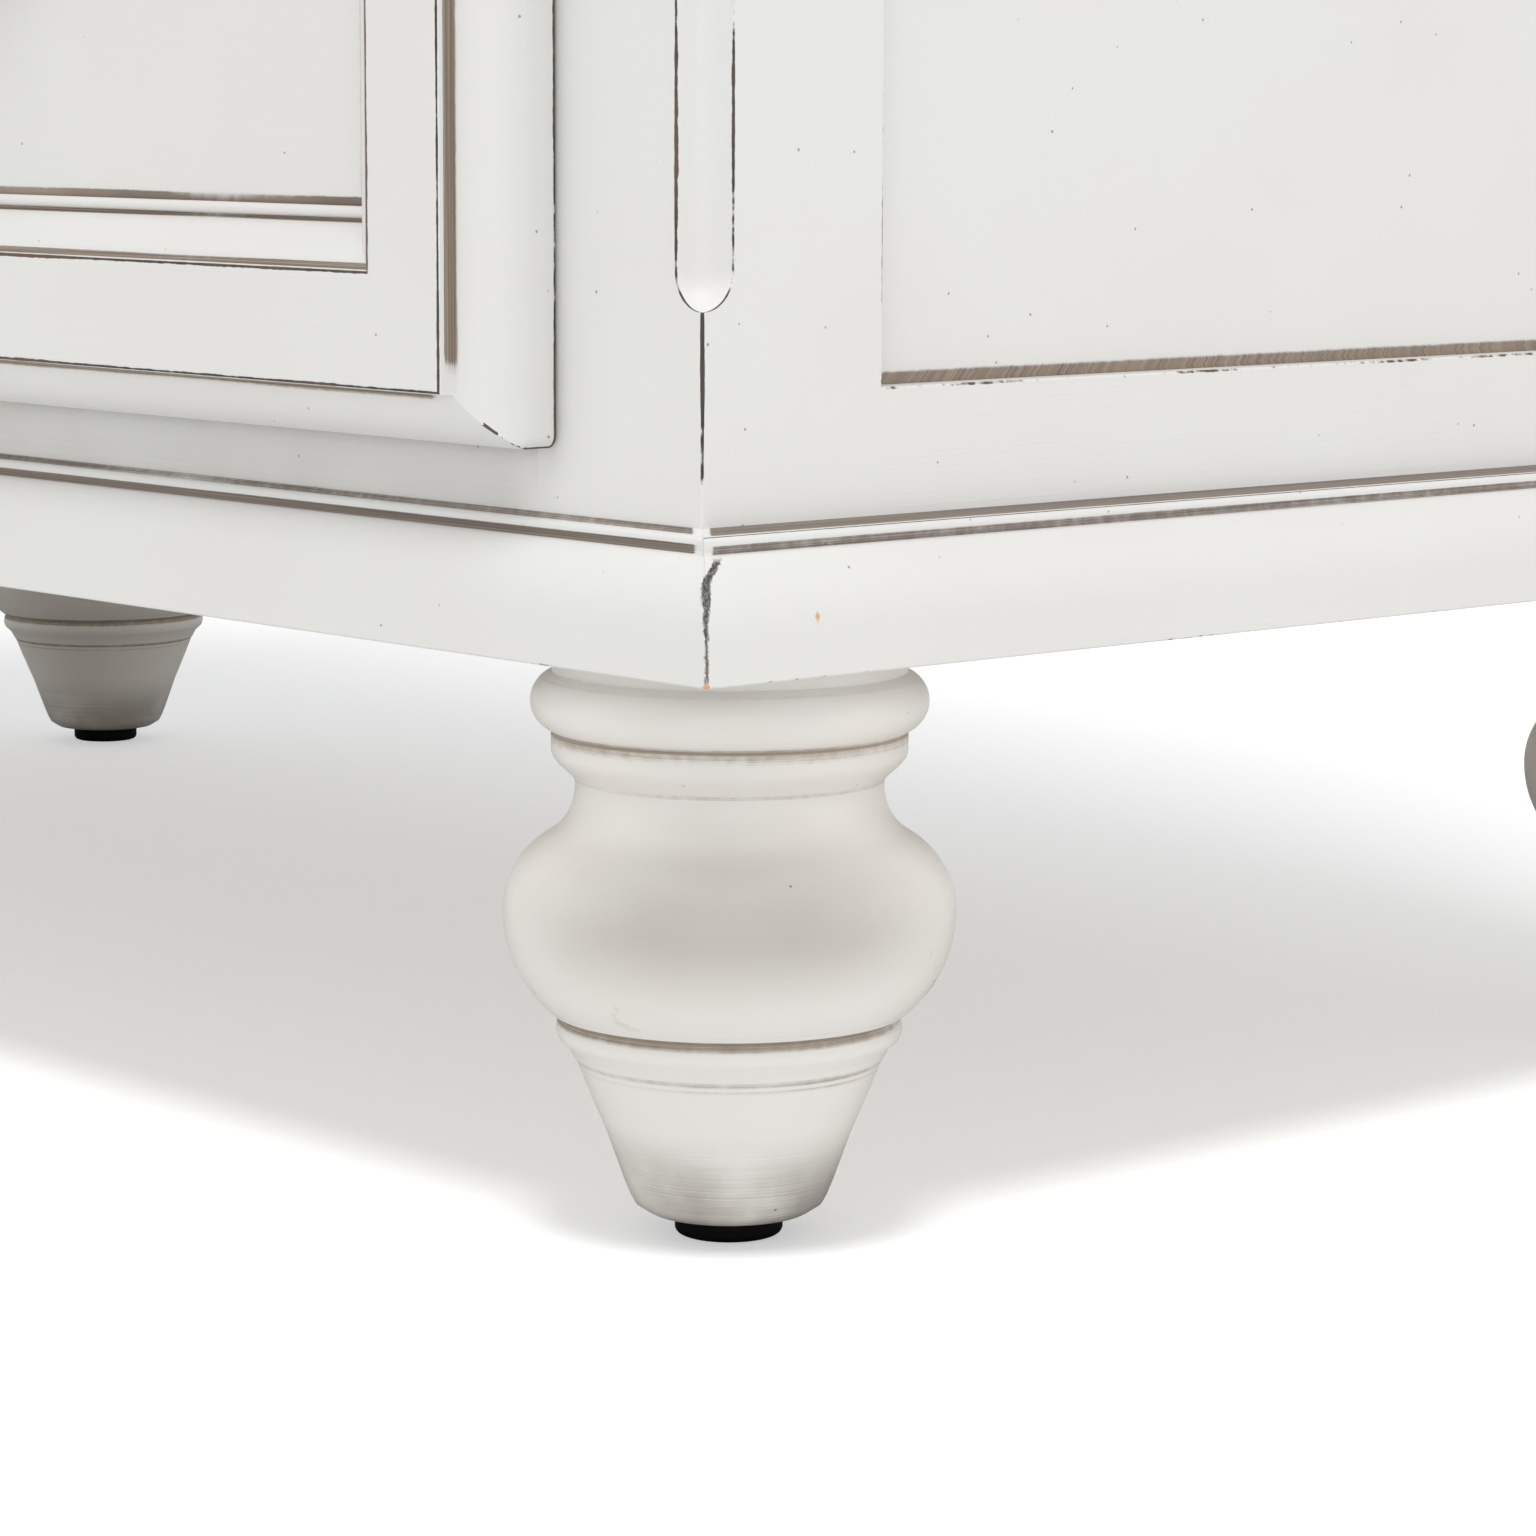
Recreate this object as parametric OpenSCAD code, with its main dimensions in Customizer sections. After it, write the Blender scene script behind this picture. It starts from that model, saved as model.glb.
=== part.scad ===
// Painted two-door armoire with one wide drawer, on four turned feet.
// Millimetres. +Z is up, the front faces -Y, and the origin lies on the floor
// under the middle of the whole piece, cornice included.

/* [Carcass] */
// Width over the side frames
carcass_w = 1000; // [850:10:1200]
// Depth from the face frame to the back
carcass_d = 525; // [460:5:620]
// Height of the underside of the carcass above the floor
carcass_z = 155; // [152:1:180]
// Height of the top of the carcass frame above the floor
carcass_top_z = 1992; // [1750:1:2200]
// Thickness of the frame boards
board_t = 20; // [16:1:26]
// Width of each upright of the face frame
face_stile_w = 64; // [50:1:80]
// Width of each upright of the side frames
side_stile_w = 60.5; // [50:0.5:80]
// Height of the bottom rail of the face frame
face_rail_bottom_h = 61; // [50:1:80]
// Height of the rail between the drawer and the doors
face_rail_middle_h = 41; // [30:1:60]
// Height of the top rail of the face frame
face_rail_top_h = 85; // [76:1:120]
// Height of the bottom rail of each side frame
side_rail_bottom_h = 69.5; // [60:0.5:100]
// Height of the top rail of each side frame
side_rail_top_h = 110; // [85:1:140]
// Thickness of the framed panels
panel_t = 6; // [4:0.5:8]
// Depth of the side panels behind the face of their frame
side_recess = 8; // [4:0.5:10]
// Depth of the grooves that hold a panel's edges
groove_d = 8; // [5:0.5:12]
// Play of a panel in its grooves
panel_play = 0.3; // [0.1:0.1:1]
// Thickness of the floor, deck, top and shelf boards
shelf_t = 18; // [15:1:22]
// Thickness of the back sheet
back_t = 6; // [4:0.5:8]

/* [Corner flute] */
// Radius of the stopped flute worked on each front corner
flute_r = 10; // [6:0.5:12]
// Height of the flute's lower end above the floor
flute_bottom_z = 245; // [230:1:300]
// Distance of the flute's upper end below the carcass top
flute_top_drop = 110; // [90:1:160]

/* [Base moulding] */
// Projection of the base moulding beyond the face frame
base_proj_front = 14; // [13:0.5:24]
// Projection of the base moulding beyond the side frames
base_proj_side = 18; // [13:0.5:24]
// Height of the base moulding
base_h = 37; // [30:1:50]
// Width of the round-over along its top edge
base_round_w = 10.5; // [6:0.5:11]
// Height of the round-over
base_round_h = 19.5; // [8:0.5:22]

/* [Cornice] */
// Projection of the cornice beyond the carcass
cornice_proj = 60; // [58:1:80]
// Height of the cornice
cornice_h = 75; // [60:1:90]

/* [Feet] */
// Distance of a foot's axis from the side of the carcass
foot_inset_side = 42; // [40:0.5:90]
// Distance of a front foot's axis from the face frame
foot_inset_front = 46; // [44:0.5:90]
// Distance from the front feet to the rear feet
foot_pitch_y = 417; // [350:1:430]
// Radius of the bulb
bulb_r = 59.4; // [50:0.1:62]
// Radius of the neck above the bulb
neck_r = 40.4; // [36:0.1:44]
// Radius of the ring under the carcass
ring_r = 52; // [48:0.5:56]
// Radius of the round glide under a foot
glide_r = 14.3; // [10:0.1:18]
// Height of the glide
glide_h = 6.5; // [5:0.5:10]
// Radius of the dowel that joins a foot to the floor board
dowel_r = 12.5; // [10:0.5:15]
// Clearance round the dowel
dowel_play = 0.1; // [0.05:0.05:0.3]

/* [Fronts] */
// Thickness of the doors and of the drawer front
front_t = 26.5; // [24:0.5:28]
// Gap between the back of a front and the face frame
front_gap = 1; // [0.8:0.1:1.5]
// How far a front laps over the face frame at each side
front_lap = 8.4; // [5:0.1:12]
// How far a front laps over the rails above and below it
rail_lap = 7.5; // [6:0.5:12]
// Width of the rounded lip round each front
lip_w = 14; // [13:0.5:18]
// Width of the flat of the frame
flat_w = 30.3; // [24:0.1:60]
// Width of the moulding between the flat and the panel
sticking_w = 16.3; // [15:0.1:24]
// Depth of the panel behind the flat of the frame
front_recess = 12.5; // [8:0.5:14]
// Height of the drawer opening
drawer_opening_h = 281; // [200:1:320]
// Gap between the two doors where they meet
meeting_gap = 4; // [3:0.5:6]
// Height of the door knobs above the floor
knob_z = 1150; // [900:10:1300]
// Distance between the two knobs of the drawer
drawer_knob_pitch = 430; // [300:10:600]

/* [Hinges] */
// Radius of a hinge knuckle
knuckle_r = 3.5; // [3:0.1:4]
// Radius of a hinge pin
hinge_pin_r = 2; // [1.5:0.1:2.2]
// Running clearance round a hinge pin
pin_play = 0.05; // [0.02:0.01:0.1]
// Distance of a pin's axis outside the door's edge
pin_offset = 5.5; // [5.5:0.1:7]
// Distance of a pin's axis in front of the face frame
pin_forward = 6.5; // [6:0.1:7]
// Height of a hinge
hinge_h = 64; // [50:1:80]
// Thickness of a hinge leaf
leaf_t = 1.5; // [1:0.1:1.5]
// Width of the leaf on the face frame
leaf_w = 16; // [12:0.5:20]
// Distance of the end hinges from the ends of a door
hinge_end = 150; // [100:10:250]

/* [Inside] */
// Length of the drawer box behind its front
drawer_box_d = 470; // [380:5:470]
// Height of the drawer sides
drawer_side_h = 200; // [120:5:250]
// Thickness of the drawer sides and back
drawer_side_t = 14; // [12:1:18]
// Thickness of the drawer bottom
drawer_bottom_t = 6; // [4:1:9]
// Gap between each drawer side and the face frame opening
drawer_side_gap = 8; // [4:1:15]
// Clearance between the drawer and its runners
runner_play = 0.5; // [0.4:0.1:1]
// Height of the rod's axis below the shelf
rod_drop = 35; // [28:1:60]
// Radius of the hanging rod
rod_r = 12.5; // [10:0.5:16]
// Clear height above the shelf
hat_space = 264; // [200:1:320]

/* [Hidden] */

$fn = 64;
paint = "#DEDDDA";
bare_wood = "#D2C2A9";
bronze = "#4A3B30";
// Extra length of a cutter past the face that it cuts
cut = 1;
// Points along a quarter turn of a moulded outline
arc_steps = 8;

// Planes of the carcass
half_w = carcass_w / 2;
face_y = cornice_proj - (carcass_d + cornice_proj) / 2;
back_y = face_y + carcass_d;
inner_x = half_w - board_t;
frame_h = carcass_top_z - carcass_z;
opening_x = half_w - face_stile_w;

// Levels of the drawer and door openings
drawer_open_z = carcass_z + face_rail_bottom_h;
drawer_open_top_z = drawer_open_z + drawer_opening_h;
door_open_z = drawer_open_top_z + face_rail_middle_h;
door_open_top_z = carcass_top_z - face_rail_top_h;

// Outlines of the fronts
front_half_w = opening_x + front_lap;
front_back_y = face_y - front_gap;
front_face_y = front_back_y - front_t;
drawer_front_z = drawer_open_z - rail_lap;
drawer_front_top_z = drawer_open_top_z + rail_lap;
door_z = door_open_z - rail_lap;
door_top_z = door_open_top_z + rail_lap;
member_w = lip_w + flat_w + sticking_w;
front_panel_y = front_face_y + front_recess;

// Hinge line
pin_x = front_half_w + pin_offset;
pin_y = face_y - pin_forward;
hinge_levels = [door_z + hinge_end, (door_z + door_top_z) / 2, door_top_z - hinge_end];

// Foot axes
foot_x = half_w - foot_inset_side;
foot_front_y = face_y + foot_inset_front;
foot_rear_y = foot_front_y + foot_pitch_y;

// Shelf and rod
cornice_z = carcass_top_z + shelf_t - cornice_h;
shelf_z = carcass_top_z - hat_space - shelf_t;
rod_z = shelf_z - rod_drop;
rod_y = (face_y + back_y) / 2;
cleat_h = 2 * rod_drop;
cleat_t = board_t - 2;
rod_seat_d = 12;
rod_play = 0.3;

function arc(cx, cy, r, from, to, steps = arc_steps) =
    [for (i = [0:steps]) let (a = from + (to - from) * i / steps)
        [cx + r * cos(a), cy + r * sin(a)]];

// A block given by its lowest and highest corners
module block(low, high) {
    translate(low) cube(high - low);
}

// A part drawn for the right side, put on side -1 (left) or 1 (right)
module on_side(side) {
    if (side < 0) mirror([1, 0, 0]) children();
    else children();
}

/* ---- Face frame ---- */

// The stopped flute on the right front corner: a round groove with ball ends
module corner_flute() {
    low = flute_bottom_z + flute_r;
    high = carcass_top_z - flute_top_drop;
    translate([half_w, face_y, low]) cylinder(r = flute_r, h = high - low);
    for (z = [low, high]) translate([half_w, face_y, z]) sphere(r = flute_r);
}

module face_stile(side) {
    color(paint) on_side(side) difference() {
        translate([half_w, face_y, carcass_z]) linear_extrude(frame_h)
            polygon([[0, 0], [-board_t, board_t],
                [-face_stile_w, board_t], [-face_stile_w, 0]]);
        corner_flute();
    }
}

module face_rail(z, h) {
    color(paint)
        block([-opening_x, face_y, z], [opening_x, face_y + board_t, z + h]);
}

/* ---- Side frames ---- */

side_panel_x = half_w - side_recess - panel_t;
rail_y0 = face_y + side_stile_w;
rail_y1 = back_y - side_stile_w;
side_panel_z0 = carcass_z + side_rail_bottom_h;
side_panel_z1 = carcass_top_z - side_rail_top_h;

// The room that the side panel and its play take out of the frame
module side_panel_room() {
    block([side_panel_x - panel_play / 2, rail_y0 - groove_d, side_panel_z0 - groove_d],
        [side_panel_x + panel_t + panel_play / 2, rail_y1 + groove_d,
            side_panel_z1 + groove_d]);
}

module side_stile_front(side) {
    color(paint) on_side(side) difference() {
        translate([half_w, face_y, carcass_z]) linear_extrude(frame_h)
            polygon([[0, 0], [0, side_stile_w],
                [-board_t, side_stile_w], [-board_t, board_t]]);
        corner_flute();
        side_panel_room();
    }
}

module side_stile_rear(side) {
    color(paint) on_side(side) difference() {
        block([inner_x, rail_y1, carcass_z], [half_w, back_y, carcass_top_z]);
        side_panel_room();
        block([inner_x - cut, back_y - back_t, carcass_z - cut],
            [half_w - board_t / 2, back_y + cut, carcass_top_z + cut]);
    }
}

module side_rail(side, z, h) {
    color(paint) on_side(side) difference() {
        block([inner_x, rail_y0, z], [half_w, rail_y1, z + h]);
        side_panel_room();
    }
}

module side_panel(side) {
    edge = groove_d - panel_play;
    color(paint) on_side(side)
        block([side_panel_x, rail_y0 - edge, side_panel_z0 - edge],
            [side_panel_x + panel_t, rail_y1 + edge, side_panel_z1 + edge]);
}

/* ---- Boards of the carcass ---- */

module back_panel() {
    color(paint)
        block([-half_w + board_t / 2, back_y - back_t, carcass_z],
            [half_w - board_t / 2, back_y, carcass_top_z]);
}

module inner_board(z) {
    block([-inner_x, face_y + board_t, z], [inner_x, back_y - back_t, z + shelf_t]);
}

module floor_board() {
    color(bare_wood) difference() {
        inner_board(carcass_z);
        for (x = [-foot_x, foot_x], y = [foot_front_y, foot_rear_y])
            translate([x, y, carcass_z - cut])
                cylinder(r = dowel_r + dowel_play, h = shelf_t + 2 * cut);
    }
}

module deck_board() {
    color(bare_wood) inner_board(door_open_z - shelf_t);
}

module top_board() {
    color(paint)
        block([-half_w, face_y, carcass_top_z], [half_w, back_y, carcass_top_z + shelf_t]);
}

/* ---- Mouldings ---- */

// Radius of the bead on the base moulding, and the height of the step under it
base_bead_r = 1.4;
base_step_h = 5.5;
base_quirk_h = 1.2;

// Outline of the base moulding: x runs outward from the carcass, y runs up
function base_outline(proj) = let (
    shoulder = base_h - base_step_h,
    ledge = proj - base_round_w,
    round_z = shoulder - base_round_h
) concat(
    [[0, 0], [proj, 0]],
    [for (p = arc(0, 0, 1, 0, 90))
        [ledge + p[0] * base_round_w, round_z + p[1] * base_round_h]],
    [[ledge, shoulder + base_quirk_h]],
    arc(ledge - base_bead_r, shoulder + base_quirk_h + base_bead_r, base_bead_r, 0, 90, 4),
    [[0, base_h]]
);

// The cornice's foot below its bead, the bead, the fillet above it and the
// chamfer under its square top edge
cornice_foot = 6;
cornice_bead_r = 4;
cornice_fillet_h = 2;
cornice_chamfer = 3;

// Outline of the cornice: foot, bead, cove and square top edge
function cornice_outline() = let (
    bead_z = cornice_foot + cornice_bead_r,
    cove_x = cornice_foot + cornice_bead_r,
    cove_z = bead_z + cornice_bead_r + cornice_fillet_h,
    cove_r = cornice_proj - cove_z,
    edge_z = cove_z + cove_r
) concat(
    [[0, 0], [cornice_foot, 0], [cornice_foot, cornice_foot]],
    arc(cornice_foot, bead_z, cornice_bead_r, -90, 90),
    arc(cove_x + cove_r, cove_z, cove_r, 180, 100),
    [[cornice_proj - cornice_chamfer, edge_z], [cornice_proj, edge_z + cornice_chamfer],
        [cornice_proj, cornice_h], [0, cornice_h]]
);

// A moulding along the front, mitred at both ends. Side and front
// projections may differ, so the mitre runs from corner to corner
module front_moulding(z, outline, proj_front, proj_side, h) {
    intersection() {
        translate([-half_w - proj_side, face_y, z]) rotate([90, 0, 90])
            linear_extrude(carcass_w + 2 * proj_side)
                polygon([for (p = outline) [-p[0], p[1]]]);
        translate([0, 0, z - cut]) linear_extrude(h + 2 * cut)
            polygon([[-half_w, face_y], [half_w, face_y],
                [half_w + proj_side, face_y - proj_front],
                [-half_w - proj_side, face_y - proj_front]]);
    }
}

// The right-hand return of a moulding, mitred at the front
module side_moulding(z, outline, proj_front, proj_side, h) {
    intersection() {
        translate([half_w, back_y, z]) rotate([90, 0, 0])
            linear_extrude(carcass_d + proj_front) polygon(outline);
        translate([0, 0, z - cut]) linear_extrude(h + 2 * cut)
            polygon([[half_w, face_y], [half_w + proj_side, face_y - proj_front],
                [half_w + proj_side, back_y], [half_w, back_y]]);
    }
}

module base_moulding_front() {
    color(paint) front_moulding(carcass_z, base_outline(base_proj_front),
        base_proj_front, base_proj_side, base_h);
}

module base_moulding_side(side) {
    color(paint) on_side(side) side_moulding(carcass_z, base_outline(base_proj_side),
        base_proj_front, base_proj_side, base_h);
}

module cornice_front() {
    color(paint) front_moulding(cornice_z, cornice_outline(),
        cornice_proj, cornice_proj, cornice_h);
}

module cornice_side(side) {
    color(paint) on_side(side) side_moulding(cornice_z, cornice_outline(),
        cornice_proj, cornice_proj, cornice_h);
}

/* ---- Turned feet ---- */

// Height of the bulb's widest part, and the radii of the curves above it
bulb_z = 86.5;
shoulder_r = 23.2;
neck_curve_r = 14.8;
// The neck curve starts where it is tangent to the shoulder of the bulb
neck_dx = neck_r + neck_curve_r - (bulb_r - shoulder_r);
neck_dz = sqrt(pow(neck_curve_r + shoulder_r, 2) - pow(neck_dx, 2));
neck_z = bulb_z + neck_dz;
tangent_a = atan2(neck_dz, neck_dx);
belly_r = 34;
// Toe of the foot: the flat over the glide, its rounding, and the taper above
toe_r = 22;
toe_round = [25.2, 9.5];
taper_foot = [27.2, 14];
taper_head = [40, 46.5];
// Centre and radius of the bead between the taper and the bulb
bead_x = 40.3;
bead_z = 52.5;
bead_r = 5;
ring_tube = 8;
// Centre of the ring, a little under the carcass
ring_z = carcass_z - 13;
// Radius and height of the small ogee that rises from the neck to the fillet
fillet_r = neck_r + 6;
ogee_low = [neck_r + 0.6, neck_z + 2.4];
ogee_h = 9;
dowel_end_gap = 2;

function foot_outline() = concat(
    [[0, glide_h], [toe_r, glide_h], toe_round, taper_foot, taper_head],
    arc(bead_x, bead_z, bead_r, -50, 75, 6),
    arc(bulb_r - belly_r, bulb_z, belly_r, -54, 0),
    arc(bulb_r - shoulder_r, bulb_z, shoulder_r, 0, tangent_a),
    arc(neck_r + neck_curve_r, neck_z, neck_curve_r, 180 + tangent_a, 180, 6),
    [ogee_low, [fillet_r, neck_z + ogee_h], [fillet_r, ring_z - ring_tube + 1]],
    arc(ring_r - ring_tube, ring_z, ring_tube, -70, 70),
    [[ring_r - 5, ring_z + ring_tube + 1], [ring_r - 5, carcass_z], [dowel_r, carcass_z],
        [dowel_r, carcass_z + shelf_t - dowel_end_gap],
        [0, carcass_z + shelf_t - dowel_end_gap]]
);

module foot(side, y) {
    color(paint) translate([side * foot_x, y, 0]) rotate_extrude()
        polygon(foot_outline());
}

module foot_glides() {
    edge = 1.5;
    for (x = [-foot_x, foot_x], y = [foot_front_y, foot_rear_y])
        color("#17181A") translate([x, y, 0]) rotate_extrude()
            polygon([[0, 0], [glide_r - edge, 0], [glide_r, edge],
                [glide_r, glide_h], [0, glide_h]]);
}

/* ---- Inside of the carcass ---- */

module hat_shelf() {
    side_gap = 1;
    front_setback = 12;
    color(bare_wood)
        block([-inner_x + side_gap, face_y + board_t + front_setback, shelf_z],
            [inner_x - side_gap, back_y - back_t, shelf_z + shelf_t]);
}

// The two wall cleats: each carries an end of the shelf and of the rod
module shelf_cleats() {
    for (side = [-1, 1]) color(bare_wood) on_side(side) difference() {
        block([inner_x - cleat_t, face_y + board_t, shelf_z - cleat_h],
            [inner_x, back_y - back_t, shelf_z]);
        translate([inner_x - cleat_t - cut, rod_y, rod_z]) rotate([0, 90, 0])
            cylinder(r = rod_r + rod_play, h = rod_seat_d + cut);
    }
}

module hanging_rod() {
    end_x = inner_x - cleat_t + rod_seat_d - rod_play;
    color("#B9B7B2") translate([-end_x, rod_y, rod_z]) rotate([0, 90, 0])
        cylinder(r = rod_r, h = 2 * end_x);
}

drawer_half_w = opening_x - drawer_side_gap;
drawer_rise = 2;
drawer_z = drawer_open_z + drawer_rise;
runner_top_z = drawer_z - runner_play;

// Each runner is an L: a ledge under the drawer side and a guide beside it
module drawer_runners() {
    ledge_h = 16;
    ledge_w = 24;
    guide_h = 44;
    guide_x = drawer_half_w + runner_play;
    for (side = [-1, 1]) color(bare_wood) on_side(side)
        translate([0, back_y - back_t, 0]) rotate([90, 0, 0])
            linear_extrude(carcass_d - board_t - back_t)
                polygon([[guide_x - ledge_w, runner_top_z - ledge_h],
                    [inner_x, runner_top_z - ledge_h],
                    [inner_x, runner_top_z + guide_h],
                    [guide_x, runner_top_z + guide_h],
                    [guide_x, runner_top_z], [guide_x - ledge_w, runner_top_z]]);
}

module magnet_catches() {
    catch_w = 40;
    catch_h = 14;
    catch_x = meeting_gap / 2 + 10;
    for (side = [-1, 1]) color("#3A3A3A") on_side(side)
        block([catch_x, face_y, door_open_top_z - catch_h],
            [catch_x + catch_w, face_y + board_t, door_open_top_z]);
}

/* ---- Hinges ---- */

knuckle_gap = 0.5;
middle_knuckle_h = hinge_h * 0.4;
end_knuckle_h = (hinge_h - middle_knuckle_h) / 2 - knuckle_gap;
finial_r = knuckle_r - 0.5;
finial_rise = 1;

// Fixed half of a hinge, centred on z = 0: leaf, two knuckles, pin and finials
module hinge_post() {
    leaf_y = pin_forward - leaf_t;
    block([-leaf_t / 2, leaf_y, -hinge_h / 2], [leaf_w, pin_forward, hinge_h / 2]);
    for (end = [-1, 1]) {
        low = end < 0 ? -hinge_h / 2 : hinge_h / 2 - end_knuckle_h;
        translate([0, 0, low]) cylinder(r = knuckle_r, h = end_knuckle_h);
        block([-leaf_t / 2, 0, low], [leaf_t / 2, leaf_y + leaf_t / 2, low + end_knuckle_h]);
        translate([0, 0, end * (hinge_h / 2 + finial_rise)]) sphere(r = finial_r);
    }
    cylinder(r = hinge_pin_r, h = hinge_h, center = true);
}

module hinge_posts() {
    for (side = [-1, 1], z = hinge_levels) color(bronze) on_side(side)
        translate([pin_x, pin_y, z]) hinge_post();
}

// Moving half of a hinge: one knuckle and a narrow leaf on the door's edge
module hinge_leaf() {
    leaf_low = -2;
    leaf_gap = 0.5;
    leaf_high = pin_forward - front_gap - leaf_gap;
    difference() {
        union() {
            cylinder(r = knuckle_r, h = middle_knuckle_h, center = true);
            block([-pin_offset, -leaf_t / 2, -middle_knuckle_h / 2],
                [0, leaf_t / 2, middle_knuckle_h / 2]);
            block([-pin_offset, leaf_low, -hinge_h / 2],
                [-pin_offset + leaf_t, leaf_high, hinge_h / 2]);
        }
        cylinder(r = hinge_pin_r + pin_play, h = hinge_h + cut, center = true);
    }
}

module door_hinge_leaves(side) {
    for (z = hinge_levels) color(bronze) on_side(side)
        translate([pin_x, pin_y, z]) hinge_leaf();
}

/* ---- Doors and drawer front ---- */

// Outline of a frame member: x runs inward from its outer edge, y runs forward
// from its back. Outside to inside: rounded lip, step, flat, ovolo, bead, groove
edge_flat = 8;
step_d = 4.5;
step_w = 1.2;
lip_curve_r = 21;
ovolo_r = 16;
// Width and depth of the quirk before the ovolo, and width of the one after it
ovolo_quirk_w = 2;
ovolo_quirk_d = 1.4;
bead_quirk_w = 1.2;
front_bead_r = 1.7;
front_bead_w = 3.6;
bead_rise = 0.8;
// How far the edge against the panel stands back from the member's full width
panel_edge = 0.2;
bead_back = front_t - front_recess;

// Centre of the arc of given radius through two points, on the right of a to b
function arc_centre(a, b, r) = let (
    d = b - a,
    l = norm(d),
    m = (a + b) / 2,
    s = sqrt(r * r - l * l / 4)
) [m[0] + d[1] / l * s, m[1] - d[0] / l * s];
function angle_of(v) = atan2(v[1], v[0]);
function arc_through(a, b, r) = let (c = arc_centre(a, b, r))
    arc(c[0], c[1], r, angle_of(a - c), angle_of(b - c));

function member_outline() = let (
    step_z = front_t - step_d,
    flat_end = lip_w + flat_w,
    quirk_z = front_t - ovolo_quirk_d,
    bead_x = member_w - front_bead_w / 2,
    bead_z = bead_back + bead_rise,
    ovolo_low = [member_w - front_bead_w - bead_quirk_w, bead_z + front_bead_r * 0.7],
    half = panel_t / 2 + panel_play / 2,
    mid = bead_back - panel_t / 2,
    edge_x = member_w - panel_edge
) concat(
    [[0, 0]],
    arc_through([0, edge_flat], [lip_w - step_w, step_z], lip_curve_r),
    [[lip_w - step_w / 4, step_z + step_w / 3], [lip_w, front_t], [flat_end, front_t],
        [flat_end, quirk_z]],
    arc_through([flat_end + ovolo_quirk_w, quirk_z], ovolo_low, ovolo_r),
    [[ovolo_low[0] + bead_quirk_w / 2, bead_z]],
    arc(bead_x, bead_z, front_bead_r, 180, 0, 6),
    [[edge_x, mid + half], [member_w - groove_d, mid + half],
        [member_w - groove_d, mid - half], [edge_x, mid - half], [edge_x, 0]]
);

// A member along X, its outer edge at z = 0, mitred at both ends
module front_member(len) {
    intersection() {
        rotate([90, 0, 90]) linear_extrude(len)
            polygon([for (p = member_outline()) [-p[1], p[0]]]);
        translate([0, cut, 0]) rotate([90, 0, 0]) linear_extrude(front_t + 2 * cut)
            polygon([[0, 0], [len, 0], [len - member_w, member_w], [member_w, member_w]]);
    }
}

module frame_bottom(x0, x1, z0) {
    color(paint) translate([x0, front_back_y, z0]) front_member(x1 - x0);
}

module frame_top(x0, x1, z1) {
    color(paint) translate([x1, front_back_y, z1]) rotate([0, 180, 0])
        front_member(x1 - x0);
}

module frame_left(x0, z0, z1) {
    color(paint) translate([x0, front_back_y, z1]) rotate([0, 90, 0])
        front_member(z1 - z0);
}

module frame_right(x1, z0, z1) {
    color(paint) translate([x1, front_back_y, z0]) rotate([0, -90, 0])
        front_member(z1 - z0);
}

module front_panel(x0, x1, z0, z1) {
    inset = member_w - groove_d + panel_play;
    color(paint) block([x0 + inset, front_panel_y, z0 + inset],
        [x1 - inset, front_panel_y + panel_t, z1 - inset]);
}

door_inner_x = meeting_gap / 2;

module door_stile_outer(side) {
    on_side(side) frame_right(front_half_w, door_z, door_top_z);
}

module door_stile_inner(side) {
    on_side(side) frame_left(door_inner_x, door_z, door_top_z);
}

module door_rail_top(side) {
    on_side(side) frame_top(door_inner_x, front_half_w, door_top_z);
}

module door_rail_bottom(side) {
    on_side(side) frame_bottom(door_inner_x, front_half_w, door_z);
}

module door_panel(side) {
    on_side(side) front_panel(door_inner_x, front_half_w, door_z, door_top_z);
}

knob_foot_r = 11;
knob_foot_h = 1.5;
knob_neck_r = 5.5;
knob_neck_top = 12;
knob_ball_r = 8;
knob_ball_x = 7;
knob_ball_z = 18;
knob_h = 27;

// A turned knob: its foot lies at the origin and it stands along +Z
module knob() {
    rotate_extrude() polygon(concat(
        [[0, 0], [knob_foot_r, 0], [knob_foot_r, knob_foot_h],
            [knob_neck_r + 0.5, knob_neck_top / 3], [knob_neck_r, knob_neck_top]],
        arc(knob_ball_x, knob_ball_z, knob_ball_r, -50, 70),
        [[0, knob_h]]));
}

// The door knob stands on the flat of the meeting stile
module door_knob(side) {
    knob_x = door_inner_x + lip_w + flat_w / 2;
    color(bronze) on_side(side) translate([knob_x, front_face_y, knob_z])
        rotate([90, 0, 0]) knob();
}

/* ---- Drawer ---- */

module drawer_side(side) {
    color(bare_wood) on_side(side) difference() {
        block([drawer_half_w - drawer_side_t, front_back_y, drawer_z],
            [drawer_half_w, front_back_y + drawer_box_d, drawer_z + drawer_side_h]);
        drawer_bottom_room();
    }
}

drawer_bottom_up = 10;
drawer_bottom_in = 6;

// The groove round the drawer sides that holds the bottom
module drawer_bottom_room() {
    x = drawer_half_w - drawer_side_t + drawer_bottom_in;
    block([-x, front_back_y - cut, drawer_z + drawer_bottom_up],
        [x, front_back_y + drawer_box_d - drawer_side_t + drawer_bottom_in,
            drawer_z + drawer_bottom_up + drawer_bottom_t + panel_play]);
}

module drawer_back() {
    x = drawer_half_w - drawer_side_t;
    y = front_back_y + drawer_box_d;
    color(bare_wood) difference() {
        block([-x, y - drawer_side_t, drawer_z], [x, y, drawer_z + drawer_side_h]);
        drawer_bottom_room();
    }
}

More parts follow.
